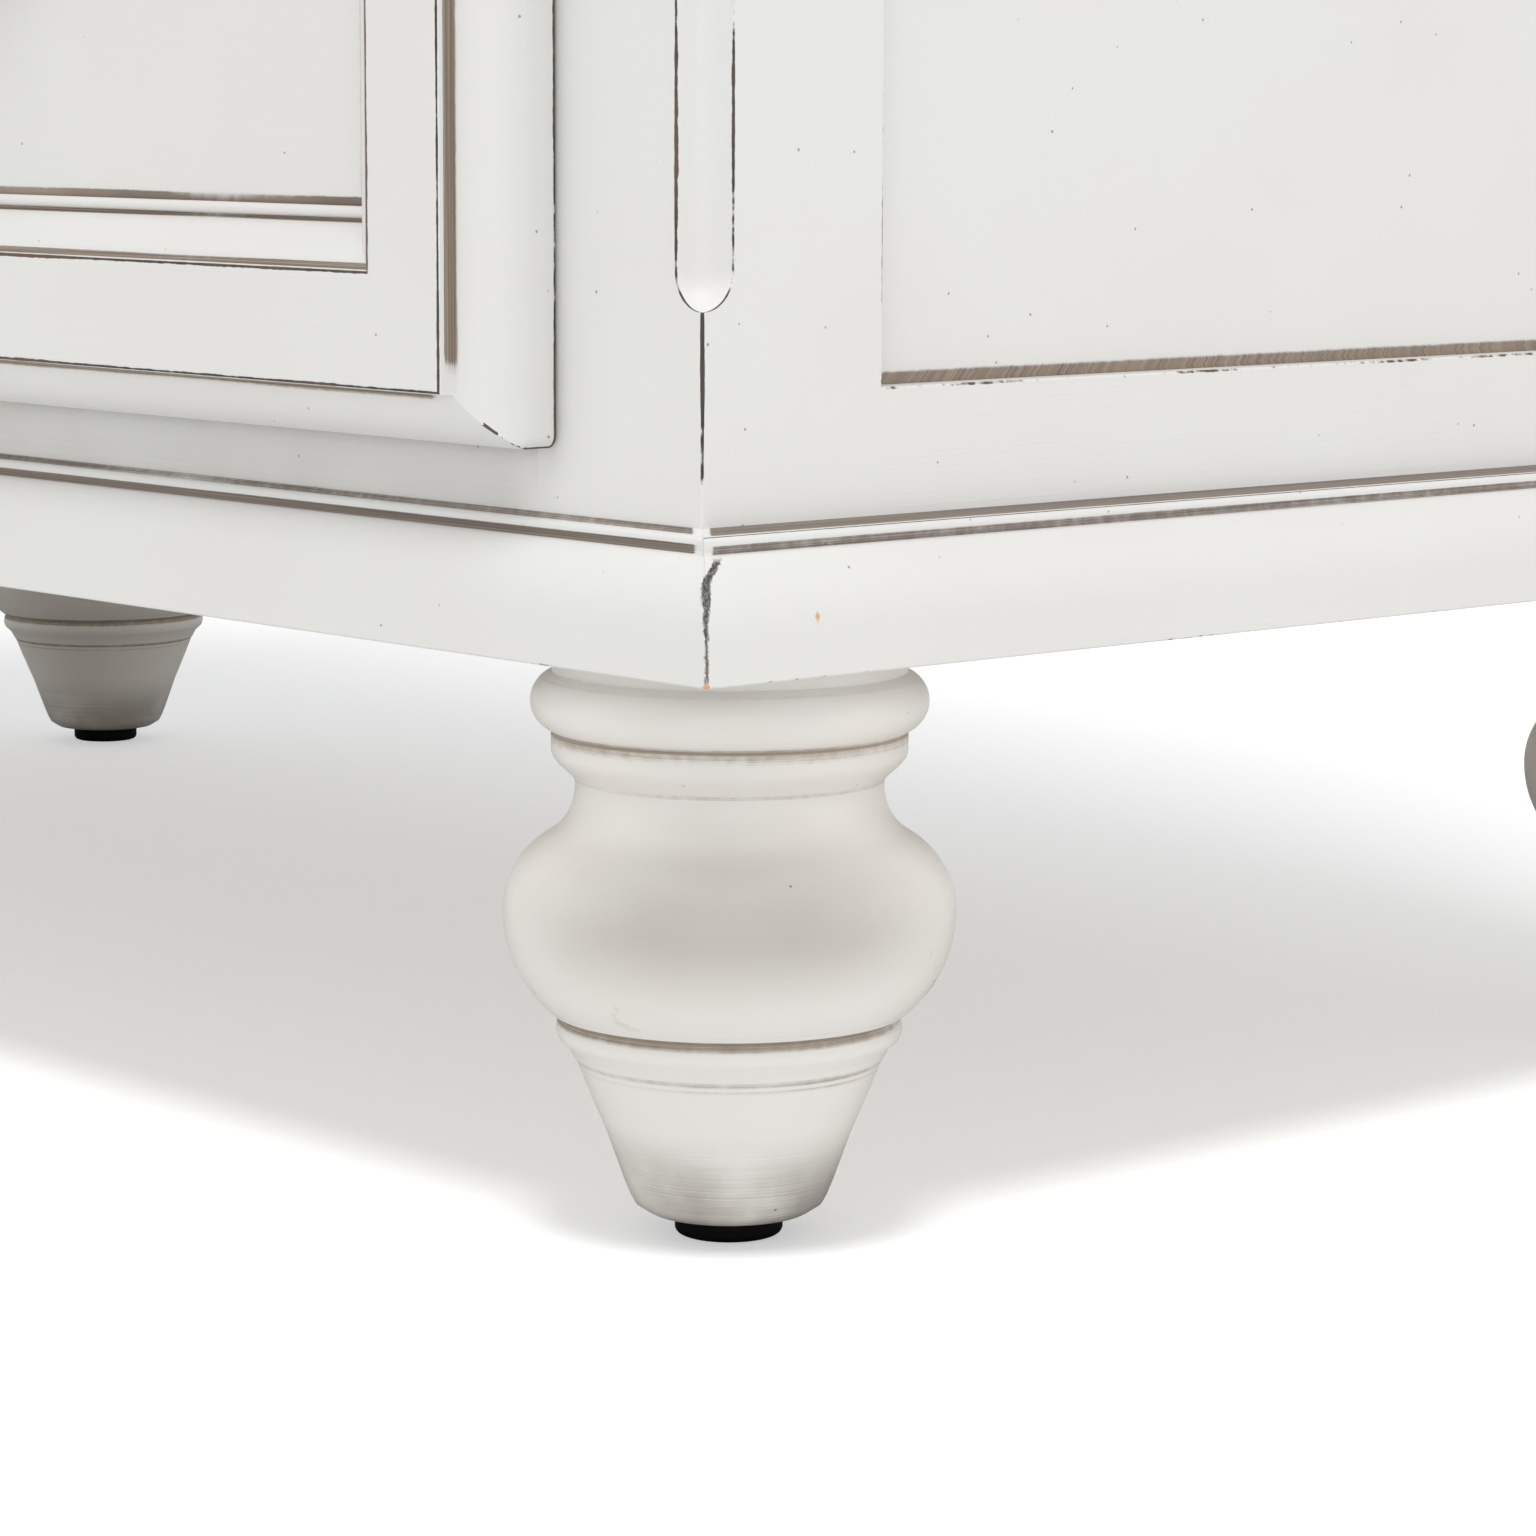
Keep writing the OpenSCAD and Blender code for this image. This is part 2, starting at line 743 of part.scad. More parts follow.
module drawer_bottom() {
    x = drawer_half_w - drawer_side_t + drawer_bottom_in - panel_play;
    color(bare_wood)
        block([-x, front_back_y, drawer_z + drawer_bottom_up],
            [x, front_back_y + drawer_box_d - drawer_side_t + drawer_bottom_in - panel_play,
                drawer_z + drawer_bottom_up + drawer_bottom_t]);
}

// The two drawer knobs stand on the panel, half way up
module drawer_knobs() {
    z = (drawer_front_z + drawer_front_top_z) / 2;
    for (side = [-1, 1]) color(bronze) on_side(side)
        translate([drawer_knob_pitch / 2, front_panel_y, z])
            rotate([90, 0, 0]) knob();
}

face_stile(-1);  // face_stile_left
face_stile(1);  // face_stile_right
face_rail(door_open_top_z, face_rail_top_h);  // face_rail_top
face_rail(drawer_open_top_z, face_rail_middle_h);  // face_rail_middle
face_rail(carcass_z, face_rail_bottom_h);  // face_rail_bottom
side_stile_front(-1);  // side_stile_front_left
side_stile_front(1);  // side_stile_front_right
side_stile_rear(-1);  // side_stile_rear_left
side_stile_rear(1);  // side_stile_rear_right
side_rail(-1, side_panel_z1, side_rail_top_h);  // side_rail_top_left
side_rail(1, side_panel_z1, side_rail_top_h);  // side_rail_top_right
side_rail(-1, carcass_z, side_rail_bottom_h);  // side_rail_bottom_left
side_rail(1, carcass_z, side_rail_bottom_h);  // side_rail_bottom_right
side_panel(-1);  // side_panel_left
side_panel(1);  // side_panel_right
back_panel();
floor_board();
deck_board();
top_board();
base_moulding_front();
base_moulding_side(-1);  // base_moulding_left
base_moulding_side(1);  // base_moulding_right
cornice_front();
cornice_side(-1);  // cornice_left
cornice_side(1);  // cornice_right
foot(-1, foot_front_y);  // foot_front_left
foot(1, foot_front_y);  // foot_front_right
foot(-1, foot_rear_y);  // foot_rear_left
foot(1, foot_rear_y);  // foot_rear_right
foot_glides();
hat_shelf();
shelf_cleats();
hanging_rod();
drawer_runners();
hinge_posts();
magnet_catches();
door_stile_outer(-1);  // door_left_stile_outer
door_stile_inner(-1);  // door_left_stile_inner
door_rail_top(-1);  // door_left_rail_top
door_rail_bottom(-1);  // door_left_rail_bottom
door_panel(-1);  // door_left_panel
door_knob(-1);  // door_left_knob
door_hinge_leaves(-1);  // door_left_hinge_leaves
door_stile_outer(1);  // door_right_stile_outer
door_stile_inner(1);  // door_right_stile_inner
door_rail_top(1);  // door_right_rail_top
door_rail_bottom(1);  // door_right_rail_bottom
door_panel(1);  // door_right_panel
door_knob(1);  // door_right_knob
door_hinge_leaves(1);  // door_right_hinge_leaves
frame_left(-front_half_w, drawer_front_z, drawer_front_top_z);  // drawer_stile_left
frame_right(front_half_w, drawer_front_z, drawer_front_top_z);  // drawer_stile_right
frame_top(-front_half_w, front_half_w, drawer_front_top_z);  // drawer_rail_top
frame_bottom(-front_half_w, front_half_w, drawer_front_z);  // drawer_rail_bottom
front_panel(-front_half_w, front_half_w, drawer_front_z, drawer_front_top_z);  // drawer_panel
drawer_side(-1);  // drawer_side_left
drawer_side(1);  // drawer_side_right
drawer_back();
drawer_bottom();
drawer_knobs();
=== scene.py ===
import math

import bmesh
import bpy
from mathutils import Matrix, Vector


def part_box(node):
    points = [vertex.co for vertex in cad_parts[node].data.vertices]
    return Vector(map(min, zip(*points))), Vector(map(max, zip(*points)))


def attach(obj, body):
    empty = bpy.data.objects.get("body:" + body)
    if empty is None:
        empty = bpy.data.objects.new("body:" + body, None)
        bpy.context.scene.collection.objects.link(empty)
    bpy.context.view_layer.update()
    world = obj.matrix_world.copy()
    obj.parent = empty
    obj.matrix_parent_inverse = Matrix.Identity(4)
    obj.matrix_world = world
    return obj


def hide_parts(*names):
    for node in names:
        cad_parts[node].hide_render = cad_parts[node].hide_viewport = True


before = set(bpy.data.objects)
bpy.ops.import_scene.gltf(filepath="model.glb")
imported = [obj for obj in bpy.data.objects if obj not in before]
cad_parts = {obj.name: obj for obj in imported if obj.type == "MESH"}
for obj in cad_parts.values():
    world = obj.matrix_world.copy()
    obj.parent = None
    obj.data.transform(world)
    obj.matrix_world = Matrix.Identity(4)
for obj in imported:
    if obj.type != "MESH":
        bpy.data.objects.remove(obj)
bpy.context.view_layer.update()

# ---- Camera ----
# It stands low, in front of the right corner, and looks down a little
# at the base of the case and the right front foot.
foot_low, foot_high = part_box("foot_front_right")
near_foot = (foot_low + foot_high) / 2
near_foot.z = 0
camera_from_foot = Vector((0.9288, -0.8128, 0.2994))
camera_azimuth = math.radians(48.347)
camera_dip = math.radians(8.097)
camera_roll = math.radians(0.194)
camera_data = bpy.data.cameras.new("camera")
camera_data.lens = 112.0
camera_data.sensor_width = 36.0
camera = bpy.data.objects.new("camera", camera_data)
bpy.context.scene.collection.objects.link(camera)
camera.matrix_world = (
    Matrix.Translation(near_foot + camera_from_foot)
    @ Matrix.Rotation(camera_azimuth, 4, "Z")
    @ Matrix.Rotation(math.pi / 2 - camera_dip, 4, "X")
    @ Matrix.Rotation(camera_roll, 4, "Z")
)
bpy.context.scene.camera = camera


# ---- Studio ----
# A white sweep under a soft light from above, with panels beside and behind the
# camera. The sweep has a sun of its own, so that it stays white round the shadow.
class Wire:
    """A number carried by a node's socket. Python's operators add the Math nodes."""

    def __init__(self, finish, socket):
        self.finish = finish
        self.socket = socket

    def __add__(self, other):
        return self.finish.maths("ADD", self, other)

    def __sub__(self, other):
        return self.finish.maths("SUBTRACT", self, other)

    def __rsub__(self, other):
        return self.finish.maths("SUBTRACT", other, self)

    def __mul__(self, other):
        return self.finish.maths("MULTIPLY", self, other)

    __radd__ = __add__
    __rmul__ = __mul__

    def most(self, other):
        return self.finish.maths("MAXIMUM", self, other)

    def size(self):
        return self.finish.maths("ABSOLUTE", self)

    def wave(self):
        return self.finish.maths("SINE", self)

    def ramp(self, low, high):
        """0 at low and 1 at high, with a smooth change between them."""
        inputs = {"Value": self, "From Min": low, "From Max": high}
        return self.finish.node("ShaderNodeMapRange", {"interpolation_type": "SMOOTHSTEP"}, inputs)


class Finish:
    """One material, built from nodes that read the piece's own place in metres."""

    def __init__(self, name):
        self.material = bpy.data.materials.new(name)
        self.material.use_nodes = True
        self.tree = self.material.node_tree
        self.tree.nodes.clear()
        self.place = self.node("ShaderNodeTexCoord", output="Object")

    def node(self, kind, settings=None, inputs=None, output=0):
        made = self.tree.nodes.new(kind)
        for name, value in (settings or {}).items():
            setattr(made, name, value)
        for name, value in (inputs or {}).items():
            if isinstance(value, Wire):
                self.tree.links.new(value.socket, made.inputs[name])
            else:
                made.inputs[name].default_value = value
        return Wire(self, made.outputs[output]) if made.outputs else None

    def maths(self, operation, *values):
        return self.node("ShaderNodeMath", {"operation": operation}, dict(enumerate(values)))

    def axis(self, name):
        return self.node("ShaderNodeSeparateXYZ", {}, {"Vector": self.place}, name)

    def mark(self, name):
        """A weight that the piece's mesh carries at its corners or points."""
        return self.node("ShaderNodeAttribute", {"attribute_name": name}, {}, "Fac")

    def noise(self, scale, detail=2.0, place=None):
        inputs = {"Vector": place or self.place, "Scale": scale, "Detail": detail}
        return self.node("ShaderNodeTexNoise", {}, inputs)

    def streaks(self, scale, fineness, across, detail=2.0):
        """Noise drawn out along a moulding: slow along it and fine across it."""
        inputs = {"Vector": self.place, "W": across * fineness, "Scale": scale, "Detail": detail}
        return self.node("ShaderNodeTexNoise", {"noise_dimensions": "4D"}, inputs)

    def mix(self, first, second, share):
        inputs = {0: share, 6: first, 7: second}
        return self.node("ShaderNodeMix", {"data_type": "RGBA"}, inputs, 2)

    def shade(self, colour, roughness, metallic=0.0, relief=None, depth=0.0001, **constants):
        """Closes the finish. The relief is a height from 0 to 1, depth metres high."""
        inputs = {"Base Color": colour, "Roughness": roughness, "Metallic": metallic}
        inputs.update({name.replace("_", " "): value for name, value in constants.items()})
        if relief is not None:
            bump = {"Strength": 1.0, "Distance": depth, "Height": relief}
            inputs["Normal"] = self.node("ShaderNodeBump", {}, bump)
        shader = self.node("ShaderNodeBsdfPrincipled", {}, inputs)
        self.node("ShaderNodeOutputMaterial", {}, {"Surface": shader})
        return self.material


def srgb(code):
    """A colour's linear values from its usual six-figure code."""
    parts = [int(code[i:i + 2], 16) / 255 for i in (1, 3, 5)]
    return (*[p / 12.92 if p <= 0.04045 else ((p + 0.055) / 1.055) ** 2.4 for p in parts], 1.0)


def sweep_finish():
    finish = Finish("white_sweep")
    cloud = finish.noise(1.5)
    colour = finish.mix(srgb("#D6D6D5"), srgb("#D3D3D2"), cloud)
    inputs = {"Emission_Color": (0.98, 0.99, 1.0, 1.0), "Emission_Strength": 0.5}
    return finish.shade(colour, 0.7 + cloud * 0.1, **inputs)


mm = 0.001
Z = Vector((0, 0, 1))
floor_half = 60.0
floor_drop = 0.2 * mm
floor_mesh = bmesh.new()
bmesh.ops.create_grid(floor_mesh, x_segments=4, y_segments=4, size=floor_half)
bmesh.ops.translate(floor_mesh, vec=-Z * floor_drop, verts=floor_mesh.verts)
floor_data = bpy.data.meshes.new("floor")
floor_mesh.to_mesh(floor_data)
floor_mesh.free()
floor_data.materials.append(sweep_finish())
floor = bpy.data.objects.new("floor", floor_data)
bpy.context.scene.collection.objects.link(floor)
only_floor = bpy.data.collections.new("only_floor")
all_but_floor = bpy.data.collections.new("all_but_floor")
for lit in (only_floor, all_but_floor):
    lit.objects.link(floor)
all_but_floor.collection_objects[0].light_linking.link_state = "EXCLUDE"
floor.light_linking.receiver_collection = only_floor

world = bpy.data.worlds.new("studio")
world.use_nodes = True
world.node_tree.nodes["Background"].inputs["Color"].default_value = (1.0, 1.0, 1.0, 1.0)
world.node_tree.nodes["Background"].inputs["Strength"].default_value = 0.42
bpy.context.scene.world = world
bpy.context.scene.view_settings.view_transform = "Standard"


def studio_light(name, azimuth, elevation, receivers, distance=1.0, **settings):
    """A sun, or with a size a panel, aimed at the near foot. Azimuth 0 is in front of the
    case and 90 at its right."""
    data = bpy.data.lights.new(name, "AREA" if "size" in settings else "SUN")
    for setting, value in settings.items():
        setattr(data, setting, value)
    light = bpy.data.objects.new(name, data)
    bpy.context.scene.collection.objects.link(light)
    turn, tilt = math.radians(azimuth), math.radians(90 - elevation)
    light.matrix_world = (
        Matrix.Translation(near_foot) @ Matrix.Rotation(turn, 4, "Z") @ Matrix.Rotation(tilt, 4, "X")
        @ Matrix.Translation(Z * distance)
    )
    light.light_linking.receiver_collection = receivers


camera_side = 48
broad = math.radians(60)
narrow = math.radians(20)
studio_light("overhead", camera_side, 72, all_but_floor, energy=1.8, angle=broad)
studio_light("overhead_on_sweep", camera_side, 72, only_floor, energy=3.1, angle=narrow)
for name, azimuth, elevation, watts in (
    ("left_panel", -34, 32, 29.0), ("right_panel", 128, 20, 29.0), ("front_panel", camera_side, 5, 47.5)
):
    studio_light(name, azimuth, elevation, all_but_floor, distance=4.0, energy=watts, size=3.0)


# ---- Turned feet and glides ----
# Each foot is one turned block of hardwood: taper, bead, bulb, neck, ogee and
# ring, with a dowel glued up into the floor board. Painted, then glazed in
# the turned lines. A black plastic glide is nailed under each.
def paint_finish(
    name, cracks=None, darkening=None, chips=None,
    glaze_tones=("#9A8671", "#524335"), body=("#E0E0DE", "#DFDDDA"),
):
    """Antique white paint, brushed on, with brown glaze left in the hollows and dark,
    rubbed arrises. The marks glaze and rub say where; rub also lays painted shade in the
    gap behind a framed front's lip. Cracks add more dark, a darkening weight lays a grey
    over the paint (painted shade on the low rail), and chips bare the wood, as weights
    made from the finish's own noises."""
    finish = Finish(name)
    across = finish.mark("across")
    patches = finish.noise(26.0, 4.0)
    fray = finish.noise(330.0, 3.0)
    strokes = finish.streaks(7.0, 260.0, across, 3.0)
    hairs = finish.streaks(9.0, 620.0, across, 3.0)
    glaze = finish.mark("glaze")
    wiped = finish.noise(5.5, 2.0).ramp(0.58, 0.74)
    laid = glaze + (hairs - 0.5) * 0.5 + (fray - 0.5) * 0.3 + (patches - 0.5) * 0.35 - wiped * 0.3
    glazed = laid.ramp(0.34, 0.8)
    tint = glaze.ramp(0.0, 1.0) * strokes.ramp(0.3, 0.75) * 0.5
    rub = finish.mark("rub")
    worn = rub + (patches - 0.5) * 0.9 + (fray - 0.5) * 0.5
    bare = worn.ramp(0.6, 0.74)
    cells = {"Vector": finish.place, "Scale": 126.0}
    speck = finish.node("ShaderNodeTexVoronoi", {}, cells)
    chosen = finish.node("ShaderNodeTexVoronoi", {}, cells, "Color")
    chosen = finish.node("ShaderNodeSeparateColor", {}, {"Color": chosen}, "Red")
    specks = (speck + (fray - 0.5) * 0.06).ramp(0.06, 0.03) * chosen.ramp(0.78, 0.81)
    dark = bare.most(specks * 0.65)
    if cracks is not None:
        dark = dark.most(cracks(finish, fray, patches))
    warm = finish.noise(9.0, 3.0).ramp(0.35, 0.75)
    colour = finish.mix(srgb(body[0]), srgb(body[1]), warm)
    colour = finish.mix(colour, srgb("#A99C91"), tint)
    if darkening is not None:
        # A grey laid over the paint by the darkening weight: painted shade under the drawer front on the
        # low rail, and darker places on the feet.
        colour = finish.mix(colour, srgb("#97918A"), darkening(finish, hairs, patches))
    brown = finish.mix(srgb(glaze_tones[0]), srgb(glaze_tones[1]), hairs.ramp(0.36, 0.66))
    colour = finish.mix(colour, brown, glazed * 0.9)
    black = finish.mix(srgb("#35332F"), srgb("#5F4C3E"), patches.ramp(0.42, 0.66))
    colour = finish.mix(colour, black, dark)
    if chips is not None:
        colour = finish.mix(colour, srgb("#D9A67E"), chips(finish, fray))
    roughness = 0.42 + (patches - 0.5) * 0.12 + glazed * 0.12 + dark * 0.15
    relief = 0.5 + (strokes - 0.5) * 0.5 + (fray - 0.5) * 0.12 - glazed * 0.25 - dark * 0.5
    return finish.shade(colour, roughness, relief=relief, depth=0.12 * mm)


def plastic_finish(name, dark, light, roughness, **constants):
    """Moulded plastic with a fine, slightly scuffed grain."""
    finish = Finish(name)
    grain = finish.noise(1400.0, 2.0)
    scuffs = finish.noise(70.0, 5.0).ramp(0.55, 0.8)
    colour = finish.mix(srgb(dark), srgb(light), scuffs)
    return finish.shade(colour, roughness + scuffs * 0.2, relief=grain, depth=0.03 * mm, **constants)


def arc(cx, cy, radius, start, end, steps=8, glaze=0.0, rub=0.0, tall=1.0):
    """Points of a round stretch, from one angle to another in degrees."""
    turns = [math.radians(start + (end - start) * i / steps) for i in range(steps + 1)]
    return [
        (cx + radius * math.cos(t), cy + tall * radius * math.sin(t), glaze, rub)
        for t in turns
    ]


mark_names = ("glaze", "rub", "across")


def marked_vert(bm, place, point, across):
    """A vertex that carries its outline point's marks."""
    vert = bm.verts.new(place)
    for name, value in zip(mark_names, (*point[2:], across)):
        vert[bm.verts.layers.float[name]] = value
    return vert


def turned(outline, steps=96):
    """A lathe turning about Z. The outline runs from the axis back to the axis; each point
    is (radius, height) in millimetres, then its glaze and its rub."""
    bm = bmesh.new()
    for name in mark_names:
        bm.verts.layers.float.new(name)
    chain = []
    across = 0.0
    for i, point in enumerate(outline):
        place = Vector((point[0], 0, point[1])) * mm
        across += (place - chain[-1].co).length if chain else 0.0
        chain.append(marked_vert(bm, place, point, across))
    edges = [bm.edges.new(pair) for pair in zip(chain, chain[1:])]
    bmesh.ops.spin(
        bm, geom=chain + edges, cent=(0, 0, 0), axis=Z, angle=2 * math.pi,
        steps=steps, use_merge=True, use_duplicate=False,
    )
    bmesh.ops.remove_doubles(bm, verts=bm.verts, dist=0.5e-6)
    bmesh.ops.recalc_face_normals(bm, faces=bm.faces)
    return bm


def fit(name, bm, body, slot, material, *nodes):
    """Makes a finished mesh a piece that rides on its body and stands for CAD nodes."""
    mesh = bpy.data.meshes.new(name)
    bm.to_mesh(mesh)
    bm.free()
    mesh.materials.append(material)
    mesh.shade_smooth()
    mesh.set_sharp_from_angle(angle=math.radians(30))
    piece = bpy.data.objects.new(name, mesh)
    bpy.context.scene.collection.objects.link(piece)
    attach(piece, body)
    if nodes:
        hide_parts(*nodes)
    return piece


def joined(meshes):
    """Several separate solids in one mesh."""
    whole = bmesh.new()
    for bm in meshes:
        part = bpy.data.meshes.new("part")
        bm.to_mesh(part)
        bm.free()
        whole.from_mesh(part)
        bpy.data.meshes.remove(part)
    return whole


glide_low, glide_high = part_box("foot_glides")
glide_h = (glide_high.z - glide_low.z) / mm
case_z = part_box("base_moulding_front")[0].z / mm
dowel_top = foot_high.z / mm
bulb_z = 86.5
bulb_r = (foot_high.x - foot_low.x) / 2 / mm
neck_r = 40.4
shoulder_r = 23.2
neck_curve_r = 14.8
belly_r = 34.0
ring_z = case_z - 13.0
ring_tube = 8.0
ring_centre_r = 44.0
dowel_r = 12.5
# The shoulder and the neck are two arcs that touch where their slopes agree
curve_angle = math.acos((neck_r + neck_curve_r - bulb_r + shoulder_r) / (neck_curve_r + shoulder_r))
neck_z = bulb_z + (neck_curve_r + shoulder_r) * math.sin(curve_angle)
neck_turn = math.degrees(curve_angle)


def foot_outline():
    taper = [
        (0, glide_h, 0, 0), (21.2, glide_h, 0, 0), (22.3, glide_h + 0.6, 0.1, 0.3),
        (24.9, 8.8, 0.2, 0), (26.0, 10.8, 0.3, 0), (27.7, 15.0, 0.2, 0), (32.4, 28.1, 0.1, 0),
        (37.4, 40.0, 0.1, 0), (39.2, 44.6, 0.1, 0), (39.6, 45.6, 0.5, 0), (39.9, 46.4, 0.1, 0),
        (40.2, 47.2, 0.65, 0), (40.9, 48.0, 0.5, 0), (41.4, 49.0, 0.0, 0),
    ]
    bead = [(42.3, 50.8, 0.0, 0)] + arc(40.6, 55.6, 4.9, -32, 10, 6) + [
        (45.3, 57.0, 0.5, 0), (45.1, 57.6, 0.68, 0), (44.7, 58.6, 0.72, 0), (44.4, 59.3, 0.8, 0),
    ]
    belly_x = bulb_r - belly_r
    belly = (
        arc(belly_x, bulb_z, belly_r, -52.3, -51.6, 1, glaze=0.8)
        + arc(belly_x, bulb_z, belly_r, -50.6, -48.2, 2)
        + arc(belly_x, bulb_z, belly_r, -47.4, -47.2, 1, glaze=0.42)
        + arc(belly_x, bulb_z, belly_r, -46.4, 0, 14)
    )
    shoulder = arc(bulb_r - shoulder_r, bulb_z, shoulder_r, 0, neck_turn, 12, glaze=0.16)[1:]
    neck = arc(neck_r + neck_curve_r, neck_z, neck_curve_r, 180 + neck_turn, 180, 8, glaze=0.1)[1:]
    ogee = [
        (neck_r, neck_z + 1.2, 0.1, 0), (neck_r + 0.1, neck_z + 1.9, 0.45, 0),
        (neck_r + 0.6, neck_z + 2.6, 0.4, 0), (neck_r + 1.2, neck_z + 3.4, 0.1, 0),
        (neck_r + 2.5, neck_z + 4.6, 0, 0), (neck_r + 4.4, neck_z + 6.3, 0, 0),
        (neck_r + 5.6, neck_z + 7.8, 0, 0), (neck_r + 6.1, neck_z + 9.0, 0.1, 0),
        (neck_r + 6.2, neck_z + 10.0, 0, 0), (neck_r + 6.2, ring_z - 10.6, 0.42, 0),
        (neck_r + 6.2, ring_z - 9.0, 0.6, 0), (neck_r + 6.2, ring_z - 8.0, 0.85, 0),
    ]
    ring = (
        arc(ring_centre_r, ring_z, ring_tube, -70, -66, 1, glaze=0.55)
        + arc(ring_centre_r, ring_z, ring_tube, -58, 44, 14)
        + arc(ring_centre_r, ring_z, ring_tube, 50, 54, 1, glaze=0.36)
        + arc(ring_centre_r, ring_z, ring_tube, 60, 70, 1, glaze=0.1)
    )
    top = [
        (neck_r + 6.1, ring_z + 7.8, 0.4, 0), (neck_r + 6.1, ring_z + 9.0, 0.1, 0),
        (neck_r + 6.1, case_z, 0, 0), (dowel_r, case_z, 0, 0),
        (dowel_r, dowel_top, 0, 0), (0, dowel_top, 0, 0),
    ]
    return taper + bead + belly + shoulder + neck + ogee + ring + top


def glide_outline():
    radius = (glide_high.x - near_foot.x) / mm
    flat = [(0, 0, 0, 0), (radius - 3.0, 0, 0, 0)]
    return flat + arc(radius - 2.0, 2.0, 2.0, -75, 0, 5) + [
        (radius, glide_h - 0.6, 0, 0), (radius - 0.5, glide_h, 0, 0), (0, glide_h, 0, 0),
    ]


foot_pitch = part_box("foot_rear_right")[0].y - foot_low.y


def foot_darkening(finish, hairs, patches):
    """Darkens each foot: over the outer side of the bulb, in streaks on the shoulder, low on the taper
    and in patches round the belly.
    """
    x = finish.axis("X").size() - near_foot.x
    y = (finish.axis("Y") - (near_foot.y + foot_pitch / 2)).size() - foot_pitch / 2
    outward = x * 0.75 + y * 0.66
    z = finish.axis("Z")
    bulb = z.ramp(0.066, 0.090) * z.ramp(0.122, 0.098)
    soft = (outward + (patches - 0.5) * 0.012).ramp(0.016, 0.058)
    streaky = z.ramp(0.092, 0.104) * z.ramp(0.116, 0.106) * (hairs * patches).ramp(0.26, 0.42)
    low = z.ramp(0.034, 0.012) * (hairs * 0.35 + patches * 0.65).ramp(0.28, 0.52)
    belly_patches = finish.noise(75.0, 5.0).ramp(0.62, 0.74) * z.ramp(0.058, 0.066) * z.ramp(0.085, 0.072)
    return (bulb * soft * 0.62).most(streaky * 0.3).most(low * 0.85).most(belly_patches * 0.5)


# The feet's paint is warmer than the case's. It is also lighter, and that is painted light: it lifts the
# ring and neck, which sit in shade under the base moulding.
foot_paint = paint_finish(
    "foot_paint", darkening=foot_darkening, glaze_tones=("#B0A08B", "#7C6F60"), body=("#E6E4E0", "#E4DFD8")
)
glides = []
for foot_name in ("foot_front_left", "foot_front_right", "foot_rear_left", "foot_rear_right"):
    low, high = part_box(foot_name)
    stand = Vector(((low.x + high.x) / 2, (low.y + high.y) / 2, 0))
    foot = turned(foot_outline(), steps=128)
    bmesh.ops.translate(foot, vec=stand, verts=foot.verts)
    fit(foot_name + "_turning", foot, "carcass", "paint", foot_paint, foot_name)
    glides.append(turned(glide_outline(), steps=48))
    bmesh.ops.translate(glides[-1], vec=stand, verts=glides[-1].verts)
glide_plastic = plastic_finish("glide_plastic", "#0B0B0B", "#1C1B1A", 0.6, Specular_IOR_Level=0.08)
fit("glides", joined(glides), "carcass", "glide", glide_plastic, "foot_glides")


# ---- Base moulding ----
# A planted moulding round three sides of the case: a fascia, a long round-over,
# a quirk and a small bead under the case. Pine, glued and mitred at the corners.
X = Vector((1, 0, 0))
Y = Vector((0, 1, 0))


def moulded(sections, origin, side, up, run):
    """A length of moulding. Each section is its distance along run in metres and its
    outline; an outline point is (side, up) in millimetres, then its glaze and rub. The
    ends and the side that closes the outline are marked plain."""
    bm = bmesh.new()
    for name in mark_names:
        bm.verts.layers.float.new(name)
    station = bm.verts.layers.int.new("station")
    plain = bm.faces.layers.int.new("plain")

    def place(point, distance):
        return origin + (side * point[0] + up * point[1]) * mm + run * distance

    face = None
    for distance, outline in sections:
        spots = [place(point, distance) for point in outline]
        lengths = [0.0]
        for a, b in zip(spots, spots[1:]):
            lengths.append(lengths[-1] + (b - a).length)
        if face is None:
            verts = [marked_vert(bm, *facts) for facts in zip(spots, outline, lengths)]
            for i, vert in enumerate(verts):
                vert[station] = i
            face = bm.faces.new(verts)
            continue
        grown = bmesh.ops.extrude_face_region(bm, geom=[face])["geom"]
        face = next(g for g in grown if isinstance(g, bmesh.types.BMFace))
        for vert in face.verts:
            i = vert[station]
            vert.co = spots[i]
            for name, value in zip(mark_names, (*outline[i][2:], lengths[i])):
                vert[bm.verts.layers.float[name]] = value
    for face in bm.faces:
        found = {vert[station] for vert in face.verts}
        if len(found) > 2 or found == {0, len(outline) - 1}:
            face[plain] = 1
    bmesh.ops.holes_fill(bm, edges=[edge for edge in bm.edges if edge.is_boundary])
    bmesh.ops.recalc_face_normals(bm, faces=bm.faces)
    return bm


def scored(bm, point, square, **settings):
    """Cuts new edges into a mesh where a plane meets it."""
    everything = bm.verts[:] + bm.edges[:] + bm.faces[:]
    bmesh.ops.bisect_plane(
        bm, geom=everything, dist=1e-7, plane_co=point, plane_no=square, **settings
    )


def cut_off(bm, point, keep):
    """Saws a mesh on a plane, and closes it. keep points to the side that stays."""
    scored(bm, point, keep, clear_inner=True)
    bmesh.ops.holes_fill(bm, edges=[edge for edge in bm.edges if edge.is_boundary])


